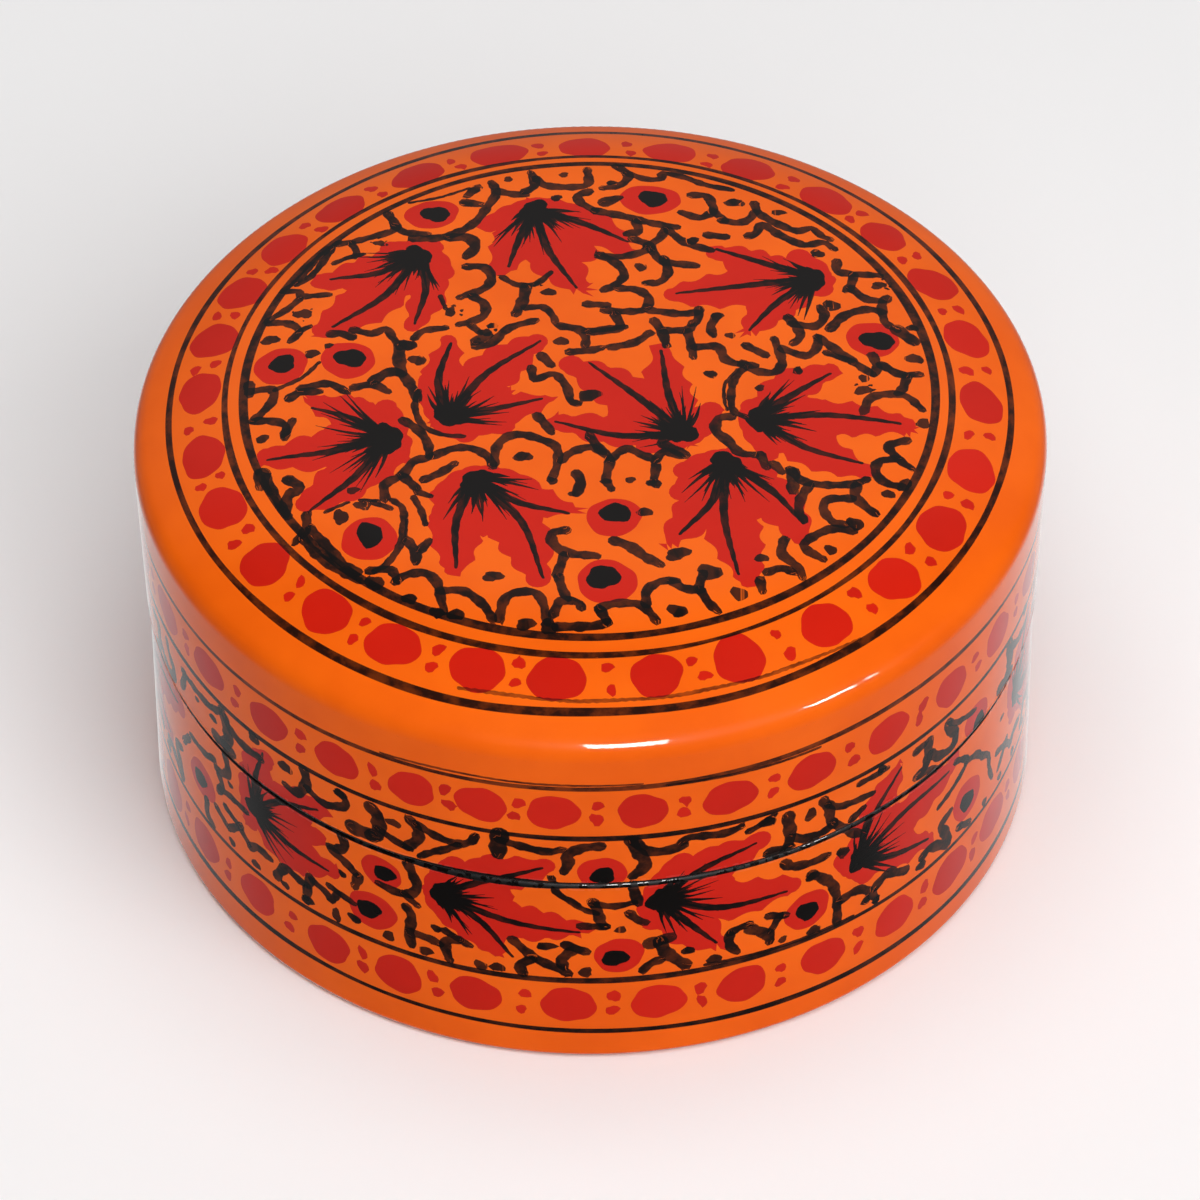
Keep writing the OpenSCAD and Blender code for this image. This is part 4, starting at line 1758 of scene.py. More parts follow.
@dataclass(frozen=True)
class Painter:
    """Puts the painting's marks together for each sheet."""

    seed: int = 5

    def crown(self) -> list[Mark]:
        """Paints the lid's top.

        Returns:
            Its marks, with the red ones first.
        """
        draw = random.Random(self.seed)
        reds: list[Mark] = []
        inks: list[Mark] = []
        for i, degrees in enumerate(TOP_BORDER_ANGLES):
            centre = border_place(math.radians(degrees))
            rx, ry = draw.uniform(3.4, 3.85), draw.uniform(3.05, 3.45)
            reds.append(red_dab(draw, centre, rx, ry, degrees + 90 + draw.uniform(-9, 9)))
            gap = (TOP_BORDER_ANGLES[(i + 1) % len(TOP_BORDER_ANGLES)] - degrees) % 360
            between = math.radians(degrees + gap / 2)
            for out, swing in ((1.35, 0.006), (-1.45, -0.004)):
                there = border_place(between + swing + draw.uniform(-0.008, 0.008), out + draw.uniform(-0.3, 0.3))
                rx, ry = draw.uniform(0.65, 1.0), draw.uniform(0.7, 1.0)
                reds.append(red_dab(draw, there, rx, ry, draw.uniform(-25, 25), 0.14))
        for thing in (*TOP_LEAVES, *TOP_BERRIES):
            red, ink = thing.marks()
            reds += red
            inks += ink
        inks += TOP_SCROLLS
        swerves = ((0, 0.55, 45), (0, -0.5, 12), (97, 0.45, 20), (180, 0.6, 50), (217, -0.6, 25))
        inks += [
            Band(45.65, 1.2, (0.0, 0.35), seed=1.3, sway=0.12, load=0.95),
            Band(48.05, 0.9, (-0.2, 0.0), seed=2.9, sway=0.12, swell=0.2, load=0.8, dry=0.3),
            Band(56.0, 1.05, (-0.17, 0.0), seed=4.1, sway=0.12, load=0.85, dips=swerves),
        ]
        faint = ((252, 3.1), (264, 3.0), (276, 3.1), (288, 3.2), (299, 3.4), (308, 3.9))
        faint_line = tuple(border_place(math.radians(angle), out) for angle, out in faint)
        inks.append(Stroke(faint_line, width=0.5, rough=0.14, pitch=1.2, load=0.35))
        return reds + inks

    def _side_marks(self, radius: float) -> tuple[list[Mark], list[Mark]]:
        """Paints the leaves, berries and scrolls of the side, three times round.

        Args:
            radius: The hoop's radius.

        Returns:
            Red marks, and black marks.
        """
        reds: list[Mark] = []
        inks: list[Mark] = []
        for copy, (turn, least, most) in enumerate(((0, -70, 66), (120, -56, 59.5), (-120, -54, 53))):
            place = lambda p: (math.radians(p[0] + turn) * radius, p[1])
            things = [moved_leaf(leaf, place, leaf.seed + 10 * copy) for leaf in SIDE_LEAVES]
            for berry in SIDE_BERRIES:
                if least <= berry.centre[0] <= most:
                    things.append(replace(berry, centre=place(berry.centre), eye=place(berry.eye)))
            for thing in things:
                red, ink = thing.marks()
                reds += red
                inks += ink
            for mark in SIDE_SCROLLS:
                across = [p[0] for p in (mark.points if isinstance(mark, Stroke) else (mark.centre,))]
                if least <= min(across) and max(across) <= most:
                    inks.append(moved(mark, place, bolder=1.14))
        # One more berry, at the left end of the front's painting
        place = lambda p: (math.radians(p[0]) * radius, p[1])
        red, ink = Berry(place((-61, 22)), (3.4, 3.2), place((-61.5, 21.8)), (1.5, 1.4)).marks()
        return reds + red, inks + ink

    def _dabs(
        self, degrees: Sequence[float], count: int, height: float, size: Point, radius: float, draw: random.Random
    ) -> list[Mark]:
        """Paints a dotted border, evenly spaced where the photo doesn't show it.

        Args:
            degrees: Places of the dots that the photo shows.
            count: How many gaps there are in the rest.
            height: Height of the border's middle.
            size: Half of the dots' length and breadth.
            radius: The hoop's radius.
            draw: Draws small differences.

        Returns:
            The dots, and the small dabs between them.
        """
        gap = (degrees[0] + 360 - degrees[-1]) / count
        places = list(degrees) + [degrees[-1] + gap * k for k in range(1, count)]
        marks: list[Mark] = []
        for i, place in enumerate(places):
            there = place if place < CUT_DEGREES else place - 360
            centre = (math.radians(there) * radius, height + draw.uniform(-0.25, 0.25))
            rx, ry = size[0] * draw.uniform(0.94, 1.06), size[1] * draw.uniform(0.93, 1.05)
            marks.append(red_dab(draw, centre, rx, ry, draw.uniform(-12, 12)))
            following = places[(i + 1) % len(places)] + (360 if i == len(places) - 1 else 0)
            middle = (place + following) / 2
            if abs(middle - CUT_DEGREES) < 2.4:
                continue
            middle = middle if middle < CUT_DEGREES else middle - 360
            for up in (1.3, -1.4):
                x = math.radians(middle + draw.uniform(-0.5, 0.5)) * radius
                centre = (x, height + up + draw.uniform(-0.3, 0.3))
                rx, ry = draw.uniform(0.7, 0.95), draw.uniform(0.85, 1.2)
                marks.append(red_dab(draw, centre, rx, ry, draw.uniform(-25, 25), 0.14))
        return marks

    def lid_wall(self, radius: float) -> list[Mark]:
        """Paints the lid's hoop.

        Args:
            radius: The hoop's radius.

        Returns:
            Its marks, with the red ones first.
        """
        draw = random.Random(self.seed + 1)
        reds, inks = self._side_marks(radius)
        dabs = self._dabs(LID_DAB_DEGREES, 20, 47.2, (3.4, 3.15), radius, draw)
        bands = [
            Band(51.55, 0.85, (0.0, -0.1), seed=5.2, sway=0.12, load=0.65, dips=((45, 0.65, 24),)),
            Band(42.3, 0.9, (-0.35, 0.0), seed=6.4, sway=0.12, load=1.2),
            Band(33.2, 0.55, (0.0, 0.0), seed=7.7, sway=0.1, load=3.0, swell=0.2, dips=((12, 0.1, 20),)),
        ]
        lines = lines_round(
            radius,
            (0.55, 0.7, ((9, 51.6), (16, 51.4), (22, 51.25), (29, 51.3))),
            (0.4, 0.5, ((-27, 52.2), (-18, 52.45), (-6, 52.35), (6, 52.3))),
            (0.9, 3.0, ((-30, 33.3), (-23, 33.45), (-14, 33.55), (-7, 33.5), (0, 33.3))),
        )
        return [*dabs, *reds, *inks, *bands, *lines]

    def base_wall(self, radius: float) -> list[Mark]:
        """Paints the base's hoop.

        Args:
            radius: The hoop's radius.

        Returns:
            Its marks, with the red ones first.
        """
        draw = random.Random(self.seed + 2)
        reds, inks = self._side_marks(radius)
        dabs = self._dabs(BASE_DAB_DEGREES, 21, 10.2, (3.6, 3.25), radius, draw)
        bands = [
            Band(32.75, 0.6, (0.0, 0.0), seed=8.8, sway=0.08, load=3.0, swell=0.1),
            Band(14.8, 0.85, (0.1, 0.0), seed=9.3, sway=0.15),
            Band(5.1, 0.95, (-0.8, 0.0), seed=10.1, sway=0.12, load=1.2),
        ]
        lines = lines_round(
            radius,
            (0.6, 1.0, ((14, 15.7), (20, 15.5), (27, 15.4), (35, 15.3))),
            (0.8, 3.0, ((-24, 32.6), (-17, 32.35), (-9, 32.3), (-2, 32.6))),
        )
        return [*dabs, *reds, *inks, *bands, *lines]


# ---------------------------------------------------------------- materials


SMOOTH = {"interpolation_type": "SMOOTHSTEP"}
TIMES = {"operation": "MULTIPLY"}
PLUS = {"operation": "ADD"}
LESS = {"operation": "SUBTRACT"}


class Graph:
    """A node tree that is being put together."""

    def __init__(self, owner: bpy.types.Material | bpy.types.World) -> None:
        """Starts an empty tree.

        Args:
            owner: The material or the world that it belongs to.
        """
        owner.use_nodes = True
        self.tree = owner.node_tree
        self.tree.nodes.clear()

    def add(self, kind: str, inputs: dict[str | int, object] | None = None, **settings: object) -> bpy.types.Node:
        """Adds a node with its settings and links.

        Args:
            kind: The node's type, without the leading "ShaderNode".
            inputs: Values, sockets or nodes for its inputs, by name or number. A node gives its first output.
            **settings: Values for its properties.

        Returns:
            The new node.
        """
        node = self.tree.nodes.new("ShaderNode" + kind)
        for key, value in settings.items():
            setattr(node, key, value)
        for key, value in (inputs or {}).items():
            source = value.outputs[0] if isinstance(value, bpy.types.Node) else value
            if isinstance(source, bpy.types.NodeSocket):
                self.tree.links.new(source, node.inputs[key])
            else:
                node.inputs[key].default_value = source
        return node


def lacquer_material(finish: LacquerFinish) -> bpy.types.Material:
    """Opaque poster colours and thin black ink on primed paper, under clear varnish.

    Args:
        finish: Its colours and gloss.

    Returns:
        The material.
    """
    material = bpy.data.materials.new("painted_lacquered_paper")
    g = Graph(material)
    place = g.add("TexCoord").outputs["Object"]
    paint = g.add("Attribute", attribute_name="paint")
    red, ink, dry = g.add("SeparateColor", {0: paint.outputs["Color"]}).outputs
    tone = paint.outputs["Alpha"]
    brush = g.add("Attribute", attribute_name="brush").outputs["Vector"]
    u, v, seed = g.add("SeparateXYZ", {0: brush}).outputs

    # The orange ground, slightly cloudy where the coats lie thicker
    cloud = g.add("TexNoise", {"Vector": place, "Scale": 55, "Detail": 3.0, "Roughness": 0.55})
    thicker = g.add("MapRange", {0: cloud, 1: 0.35, 2: 0.7}, **SMOOTH)
    oranges = {0: thicker, 6: srgb(finish.orange), 7: srgb(finish.orange_deep)}
    ground = g.add("Mix", oranges, data_type="RGBA").outputs[2]
    # The red, each mark a little different, thinner in places
    uneven = g.add("TexNoise", {"Vector": place, "Scale": 170, "Detail": 2.0, "Roughness": 0.5})
    parts = {i: g.add("Math", {0: a, 1: b}, **TIMES) for i, (a, b) in enumerate(((tone, 0.55), (uneven, 0.5)))}
    depth = g.add("Math", parts, **PLUS, use_clamp=True)
    reds = {0: depth, 6: srgb(finish.red), 7: srgb(finish.red_deep)}
    pigment = g.add("Mix", reds, data_type="RGBA").outputs[2]
    under = g.add("Mix", {0: red, 6: ground, 7: pigment}, data_type="RGBA").outputs[2]

    # The ink, streaked along the brush, thin at its edges and where the brush ran dry
    noises = []
    for scales, detail, roughness in (((0.34, 0.3, 5.3), 3.0, 0.62), ((0.9, 5.0, 9.1), 2.0, 0.6)):
        along = {i: g.add("Math", {0: a, 1: b}, **TIMES) for i, (a, b) in enumerate(zip((u, v, seed), scales))}
        way = g.add("CombineXYZ", along)
        noises.append(g.add("TexNoise", {"Vector": way, "Scale": 1.0, "Detail": detail, "Roughness": roughness}))
    streaks, hairs = noises
    body = g.add("MapRange", {0: streaks, 1: 0.32, 2: 0.6, 3: 0.915, 4: 0.99}, **SMOOTH)
    across = g.add("Math", {0: v}, operation="ABSOLUTE")
    rim = g.add("MapRange", {0: across, 1: 0.8, 2: 1.0, 3: 1.0, 4: 0.93}, **SMOOTH)
    gap = g.add("Math", {0: 1.0, 1: g.add("Math", {0: body, 1: rim}, **TIMES)}, **LESS)
    coats = g.add("Math", {0: ink, 1: 0.001}, operation="MAXIMUM")
    layered = g.add("Math", {0: 1.0, 1: g.add("Math", {0: gap, 1: coats}, operation="POWER")}, **LESS)
    over_gap = g.add("Math", {0: hairs, 1: g.add("Math", {0: dry, 1: 0.62}, **TIMES)}, **LESS)
    kept = g.add("Math", {0: over_gap, 1: 0.08}, operation="DIVIDE", use_clamp=True)
    inked = g.add("Math", {0: ink, 1: 0.01}, operation="GREATER_THAN")
    cover = g.add("Math", {0: g.add("Math", {0: layered, 1: kept}, **TIMES), 1: inked}, **TIMES)
    wet = g.add("MapRange", {0: streaks, 1: 0.35, 2: 0.65}, **SMOOTH)
    full = g.add("MapRange", {0: ink, 1: 1.4, 2: 2.4}, **SMOOTH)
    thick = g.add("Math", {0: wet, 1: full}, **PLUS, use_clamp=True)
    blacks = {0: thick, 6: srgb(finish.ink_thin), 7: srgb(finish.ink)}
    black = g.add("Mix", blacks, data_type="RGBA").outputs[2]
    colour = g.add("Mix", {0: cover, 6: under, 7: black}, data_type="RGBA").outputs[2]

    # Brush marks and paint edges stand up a little under the varnish, which levels most of them
    fine = g.add("TexNoise", {"Vector": place, "Scale": 420, "Detail": 2.0, "Roughness": 0.6})
    parts = {i: g.add("Math", {0: a, 1: b}, **TIMES) for i, (a, b) in enumerate(((cover, 0.35), (fine, 0.25)))}
    relief = g.add("Bump", {"Strength": 0.12, "Distance": 0.0001, "Height": g.add("Math", parts, **PLUS)})
    # Along the seam both edges are rubbed dull in spots, and the varnish stands in beads between them
    height = g.add("SeparateXYZ", {0: place}).outputs[2]
    off_seam = g.add("Math", {0: height, 1: SIZES.seam_z * MM}, **LESS)
    off_seam = g.add("Math", {0: off_seam}, operation="ABSOLUTE")
    lips = g.add("MapRange", {0: off_seam, 1: 0.0009, 2: 0.0013, 3: 1.0, 4: 0.0}, **SMOOTH)
    beads = g.add("TexNoise", {"Vector": place, "Scale": 750, "Detail": 2.0, "Roughness": 0.6})
    between = g.add("MapRange", {0: beads, 1: 0.48, 2: 0.56, 3: 1.0, 4: 0.0}, **SMOOTH)
    bare = g.add("Math", {0: lips, 1: between}, **TIMES)
    swell = g.add("TexNoise", {"Vector": place, "Scale": 150, "Detail": 1.0, "Roughness": 0.4})
    waves = g.add("Math", {0: swell, 1: g.add("Math", {0: lips, 1: beads}, **TIMES)}, **PLUS)
    flow = g.add("Bump", {"Strength": 0.16, "Distance": 0.0004, "Height": waves})
    # The varnish's own gloss, a little uneven
    patches = g.add("TexNoise", {"Vector": place, "Scale": 90, "Detail": 2.0, "Roughness": 0.5})
    least, most = finish.varnish_roughness, finish.varnish_roughness + 0.05
    gloss = g.add("MapRange", {0: patches, 1: 0.3, 2: 0.75, 3: least, 4: most}, **SMOOTH)
    rough = g.add("Math", {0: gloss, 1: g.add("Math", {0: bare, 1: 0.6}, **TIMES)}, **PLUS)
    surface = {
        "Base Color": colour,
        "Roughness": finish.ground_roughness,
        "Specular IOR Level": 0.04,
        "Normal": relief,
        "Coat Weight": 1.0,
        "Coat Roughness": rough,
        "Coat IOR": finish.varnish_ior,
        "Coat Normal": flow,
    }
    g.add("OutputMaterial", {"Surface": g.add("BsdfPrincipled", surface)})
    return material


def inside_material(finish: InsideFinish) -> bpy.types.Material:
    """Black distemper brushed on bare papier mache.

    Args:
        finish: Its colours and gloss.

    Returns:
        The material.
    """
    material = bpy.data.materials.new("painted_papier_mache_inside")
    g = Graph(material)
    place = g.add("TexCoord").outputs["Object"]
    # Brush marks run upright on the walls
    upright = g.add("Mapping", {"Vector": place, "Scale": (1.0, 1.0, 0.25)})
    strokes = g.add("TexNoise", {"Vector": upright, "Scale": 260, "Detail": 3.0, "Roughness": 0.6})
    fibre = g.add("TexNoise", {"Vector": place, "Scale": 1400, "Detail": 3.0, "Roughness": 0.6})
    patch = g.add("TexNoise", {"Vector": place, "Scale": 60, "Detail": 3.0, "Roughness": 0.55})
    thin = g.add("MapRange", {0: patch, 1: 0.45, 2: 0.75}, **SMOOTH)
    streaked = g.add("MapRange", {0: strokes, 1: 0.4, 2: 0.7, 3: 0.15, 4: 0.75}, **SMOOTH)
    worn = g.add("Math", {0: thin, 1: streaked}, **TIMES)
    colours = {0: worn, 6: srgb(finish.black), 7: srgb(finish.brown)}
    height = g.add("Math", {0: g.add("Math", {0: fibre, 1: 0.5}, **TIMES), 1: strokes}, **PLUS)
    least, most = finish.roughness - 0.1, finish.roughness + 0.12
    surface = {
        "Base Color": g.add("Mix", colours, data_type="RGBA").outputs[2],
        "Roughness": g.add("MapRange", {0: strokes, 1: 0.3, 2: 0.7, 3: least, 4: most}, **SMOOTH),
        "Specular IOR Level": 0.45,
        "Normal": g.add("Bump", {"Strength": 0.35, "Distance": 0.00025, "Height": height}),
    }
    g.add("OutputMaterial", {"Surface": g.add("BsdfPrincipled", surface)})
    return material


def felt_material(finish: FeltFinish) -> bpy.types.Material:
    """Pressed wool felt with short loose fibres.

    Args:
        finish: Its colours and roughness.

    Returns:
        The material.
    """
    material = bpy.data.materials.new("wool_felt")
    g = Graph(material)
    place = g.add("TexCoord").outputs["Object"]
    warp = g.add("TexNoise", {"Vector": place, "Scale": 500.0, "Detail": 2.0}).outputs["Color"]
    bent = g.add("Mix", {0: 0.0035, 4: place, 5: warp}, data_type="VECTOR").outputs[1]
    fibre = g.add("TexNoise", {"Vector": bent, "Scale": 2600, "Detail": 4.0, "Roughness": 0.7})
    patch = g.add("TexNoise", {"Vector": place, "Scale": 120, "Detail": 3.0, "Roughness": 0.6})
    loose = g.add("MapRange", {0: fibre, 1: 0.3, 2: 0.7}, **SMOOTH)
    parts = {i: g.add("Math", {0: a, 1: b}, **TIMES) for i, (a, b) in enumerate(((loose, 0.6), (patch, 0.5)))}
    share = g.add("Math", parts, **PLUS, use_clamp=True)
    colours = {0: share, 6: srgb(finish.dark), 7: srgb(finish.wool)}
    surface = {
        "Base Color": g.add("Mix", colours, data_type="RGBA").outputs[2],
        "Roughness": finish.roughness,
        "Specular IOR Level": 0.15,
        "Sheen Weight": 0.4,
        "Sheen Roughness": 0.6,
        "Normal": g.add("Bump", {"Strength": 0.7, "Distance": 0.0003, "Height": fibre}),
    }
    g.add("OutputMaterial", {"Surface": g.add("BsdfPrincipled", surface)})
    return material


# ---------------------------------------------------------------- the pieces


def disc_chart(centre: Point, inner: float, outer: float) -> Chart:
    """Lays a turned face out as a disc in the colour map.

    Args:
        centre: The disc's middle.
        inner: Radius that the profile ends at.
        outer: Radius that it starts at.

    Returns:
        Gives the map's places for angles and shares of the profile's length.
    """

    def chart(theta: Array, share: Array) -> Array:
        """Places in the disc."""
        r = outer + (inner - outer) * share
        return np.stack([centre[0] + r * np.sin(theta), centre[1] - r * np.cos(theta)], axis=1)

    return chart


def row_chart(left: float, low: float, high: float) -> Chart:
    """Lays a turned face out as one row across the colour map.

    Args:
        left: Angle at the row's left end.
        low: The row's lower edge.
        high: The row's upper edge.

    Returns:
        Gives the map's places for angles and shares of the profile's length.
    """

    def chart(theta: Array, share: Array) -> Array:
        """Places in the row."""
        across = (theta - left) / (TAU + 0.01)
        return np.stack([0.005 + 0.99 * across, low + (high - low) * share], axis=1)

    return chart


@dataclass(frozen=True)
class Lid:
    """The lid: a moulded crown on a hoop."""

    painter: Painter
    lacquer: bpy.types.Material
    inside: bpy.types.Material

    def crown(self) -> bpy.types.Object:
        """Makes the crowned top with its rounded shoulder.

        Returns:
            The piece.
        """
        s = SIZES
        sheet = CrownSheet()
        painted = paint_sheet(sheet, self.painter.crown())
        shell = Shell()
        points = shell.add_points(sheet.place(painted.spots))
        theta, q = sheet.polar(painted.spots)
        rim = np.nonzero(q > sheet.rim - 1e-3)[0]
        rim = rim[np.argsort(theta[rim])]
        if len(rim) != sheet.sides:
            raise ValueError(f"the crown's border has {len(rim)} points")
        chart = 0.43 + painted.spots[painted.faces] * (0.425 / sheet.rim)
        normals = sheet.normals(painted.spots)[painted.faces]
        shell.add_faces(painted.faces, normals, chart, 0, painted.paint, painted.brush)
        ring, deep = s.shoulder_ring
        inner = s.shoulder - s.lid_wall
        steep = math.asin((s.bore - ring) / inner)
        edge = (s.bore, deep + inner * math.cos(steep))
        touch = (ring + inner * math.sin(s.touch), deep + inner * math.cos(s.touch))
        # The nearly flat underside of the crown is three straight stretches
        top = s.height - s.lid_wall
        bends = (touch, (16, top - 0.06), (6, top - 0.01), (0, top))
        runs = [
            straight((s.side(s.joint_z), s.joint_z), (s.bore, s.joint_z), (1.0, 0.0)),
            straight((s.bore, s.joint_z), edge),
            arc((ring, deep), inner, 90 - math.degrees(steep), 90 - math.degrees(s.touch), 12),
            *(straight(a, b) for a, b in zip(bends, bends[1:])),
        ]
        shell.lathe(theta[rim], points[rim], None, runs, disc_chart((0.885, 0.885), 0.0, 0.105), 1)
        piece = shell.build("lid_crown", (self.lacquer, self.inside))
        return dress(piece, "lid", "lid_top")

    def hoop(self) -> bpy.types.Object:
        """Makes the side under the crown.

        Returns:
            The piece.
        """
        s = SIZES
        lip = s.lip_round
        low, high = s.seam_z + lip, s.joint_z
        sheet = WallSheet(s.lid_edge, low, high, (low + 0.13, high - 0.1), flared=True)
        low = s.seam_z + 0.03
        runs = [
            arc((s.lid_edge - lip, low + lip), lip, 0, -90, 5, (1.0, 0.3)),
            straight((s.lid_edge - lip, low), (s.bore, low), (0.3, 0.0)),
            straight((s.bore, low), (s.bore, s.joint_z - 4)),
            straight((s.bore, s.joint_z - 4), (s.bore, s.joint_z)),
            straight((s.bore, s.joint_z), (s.side(s.joint_z), s.joint_z), (0.0, 1.0)),
        ]
        piece = wall_piece("lid_hoop", sheet, self.painter.lid_wall(s.lid_edge), runs, 1, 4, self.lacquer, self.inside)
        return dress(piece, "lid", "lid_wall")


@dataclass(frozen=True)
class Base:
    """The base: a hoop, its floor board, the collar and the felt."""

    painter: Painter
    lacquer: bpy.types.Material
    inside: bpy.types.Material
    felt: bpy.types.Material

    def hoop(self) -> bpy.types.Object:
        """Makes the painted outer wall.

        Returns:
            The piece.
        """
        s = SIZES
        foot, rim = s.foot_round, s.lip_round
        high = s.seam_z - 0.03
        sheet = WallSheet(s.base_radius, foot, high - rim, (foot + 0.1, high - rim - 0.12))
        bore = s.collar_radius + 0.02
        runs = [
            arc((s.base_radius - foot, foot), foot, 0, -90, 5, (1.0, 0.3)),
            straight((s.base_radius - foot, 0), (bore, 0), (0.3, 0.0)),
            straight((bore, 0), (bore, 16)),
            straight((bore, 16), (bore, high)),
            straight((bore, high), (s.base_radius - rim, high), (0.0, 0.3)),
            arc((s.base_radius - rim, high - rim), rim, 90, 0, 5, (0.3, 1.0)),
        ]
        marks = self.painter.base_wall(s.base_radius)
        piece = wall_piece("base_hoop", sheet, marks, runs, 1, 3, self.lacquer, self.inside, ink_from=4)
        return dress(piece, "base", "base_wall")

    def collar(self) -> bpy.types.Object:
        """Makes the thin hoop inside, which the lid slides over.

        Returns:
            The piece.
        """
        s = SIZES
        bore = s.collar_radius - s.collar_wall
        half = s.collar_wall / 2
        top = s.collar_top - half
        theta = np.arange(192) * TAU / 192 - math.pi
        shell = Shell()
        start = shell.add_points(round_box(theta, s.collar_radius, np.full_like(theta, s.floor_top)))
        runs = [
            straight((s.collar_radius, s.floor_top), (bore, s.floor_top)),
            straight((bore, s.floor_top), (bore, top)),
            arc((bore + half, top), half, 180, 0, 10),
            straight((s.collar_radius, top), (s.collar_radius, s.floor_top)),
        ]
        shell.lathe(theta, start, start, runs, row_chart(theta[0], 0.02, 0.98), 0)
        piece = shell.build("collar", (self.inside,))
        return dress(piece, "base", "base_collar")

    def lining(self) -> bpy.types.Object:
        """Makes the felt disc on the floor, cut by hand.

        Returns:
            The piece.
        """
        s = SIZES
        theta = np.arange(180) * TAU / 180 - math.pi
        rim = s.felt_radius - 0.12 + waver(theta, 3.3, 0.1)
        shell = Shell()
        low, high = s.floor_top + 0.01, s.felt_top
        rows: list[tuple[Array, Array]] = []
        for share, z in ((1.0, low), (1.0, high - 0.45), (0.996, high - 0.15), (0.985, high - 0.05)):
            rows.append((rim * share, np.full_like(theta, z)))
        for share in (0.9, 0.75, 0.55, 0.35, 0.15):
            rows.append((rim * share, high - 0.05 - 0.04 * (1 + np.sin(3 * theta + share * 9) * np.sin(share * 17))))
        rings = [shell.add_points(round_box(theta, r, z)) for r, z in rows]
        middle = shell.add_points(np.array([[0, 0, high - 0.08], [0, 0, low]]))
        points = np.vstack(shell.points)
        faces = [np.stack([a, np.roll(a, -1), np.roll(b, -1), b], axis=1) for a, b in zip(rings, rings[1:])]
        for ring_faces in faces:
            flat = points[ring_faces]
            n = np.cross(flat[:, 1] - flat[:, 0], flat[:, 2] - flat[:, 0])
            n /= np.linalg.norm(n, axis=1)[:, None]
            where = 0.5 + flat[..., :2] * (0.48 / s.felt_radius)
            shell.add_faces(ring_faces, np.repeat(n[:, None], 4, axis=1), where, 0)
        for centre, ring, up in ((middle[0], rings[-1], 1), (middle[1], rings[0], -1)):
            tri = np.stack([ring, np.roll(ring, -1), np.full_like(ring, centre)], axis=1)[:, ::up]
            n = np.zeros(tri.shape + (3,))
            n[..., 2] = up
            where = 0.5 + points[tri][..., :2] * (0.48 / s.felt_radius)
            shell.add_faces(tri, n, where if up > 0 else 0.02 + (where - 0.02) * 0.05, 0)
        piece = shell.build("felt_lining", (self.felt,))
        dress(piece, "base", "floor_lining")
        return piece

    def floor_board(self) -> None:
        """Gives the board under the box its paint."""
        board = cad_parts["base_floor"]
        for slot in board.material_slots:
            slot.material = self.inside


def wall_piece(
    name: str,
    sheet: WallSheet,
    marks: Sequence[Mark],
    runs: Sequence[Run],
    painted_runs: int,
    rows: int,
    lacquer: bpy.types.Material,
    inside: bpy.types.Material,
    ink_from: int | None = None,
) -> bpy.types.Object:
    """Makes a hoop with a painted outside.

    Args:
        name: The piece's name.
        sheet: Its outside.
        marks: What is painted on it.
        runs: The rest of its profile, from the sheet's lower border round to its upper one.
        painted_runs: How many of the first of them carry lacquer.
        rows: How many rows the outside takes in the colour map.
        lacquer: Material of the outside.
        inside: Material of the rest.
        ink_from: Number of the first run at the end that is inked, or None.

    Returns:
        The new piece.
    """
    painted = paint_sheet(sheet, marks)
    shell = Shell()
    points = shell.add_points(sheet.place(painted.spots))
    x, y = painted.spots[:, 0], painted.spots[:, 1]
    left = np.nonzero(x < sheet.left + 1e-3)[0]
    right = np.nonzero(x > sheet.right - 1e-3)[0]
    left, right = left[np.argsort(y[left])], right[np.argsort(y[right])]
    if len(left) != len(right) or np.abs(y[left] - y[right]).max() > 1e-3:
        raise ValueError(f"the two ends of {name} don't match")
    alias = np.arange(len(x))
    alias[right] = left
    joined = points[alias]
    # The outside lies in rows in the colour map, one above the other
    length = sheet.right - sheet.left
    density = 0.99 / (length / rows + 5.0)
    centre = x[painted.faces].mean(1)
    row = np.clip(((centre - sheet.left) / (length / rows)).astype(int), 0, rows - 1)
    pitch = (sheet.high - sheet.low + 1.6) * density
    u = 0.005 + (x[painted.faces] - sheet.left - row[:, None] * length / rows + 2.5) * density
    v = 0.008 + row[:, None] * pitch + (y[painted.faces] - sheet.low) * density
    shell.add_faces(
        joined[painted.faces],
        sheet.normals(painted.spots)[painted.faces],
        np.stack([u, v], axis=-1),
        0,
        painted.paint,
        painted.brush,
    )
    low = np.nonzero(y < sheet.low + 1e-3)[0]
    high = np.nonzero(y > sheet.high - 1e-3)[0]
    low, high = low[np.argsort(x[low])][:-1], high[np.argsort(x[high])][:-1]
    if len(low) != sheet.sides or len(high) != sheet.sides:
        raise ValueError(f"the borders of {name} have {len(low)} and {len(high)} points")
    theta = x[low] / sheet.radius
    used = rows * pitch + 0.015
    spare = 0.99 - used
    groups = [(list(runs[:painted_runs]), 0, 3.0)]
    stop = len(runs) if ink_from is None else ink_from
    groups.append((list(runs[painted_runs:stop]), 1, 0.0))
    if ink_from is not None:
        groups.append((list(runs[ink_from:]), 0, 3.0))
    if sheet.low < 5:
        groups[0] = (groups[0][0], 0, 0.0)
    ring = joined[low]
    for i, (part, material, ink) in enumerate(groups):
        final = joined[high] if i == len(groups) - 1 else None
        shares = (0.0, 0.12, 0.88, 1.0) if len(groups) == 3 else (0.0, 0.12, 1.0)
        band = row_chart(theta[0], used + spare * shares[i], used + spare * (shares[i + 1] - 0.02))
        shell.lathe(theta, ring, final, part, band, material, ink)
        ring = np.arange(shell.count - len(theta), shell.count)
    return shell.build(name, (lacquer, inside))


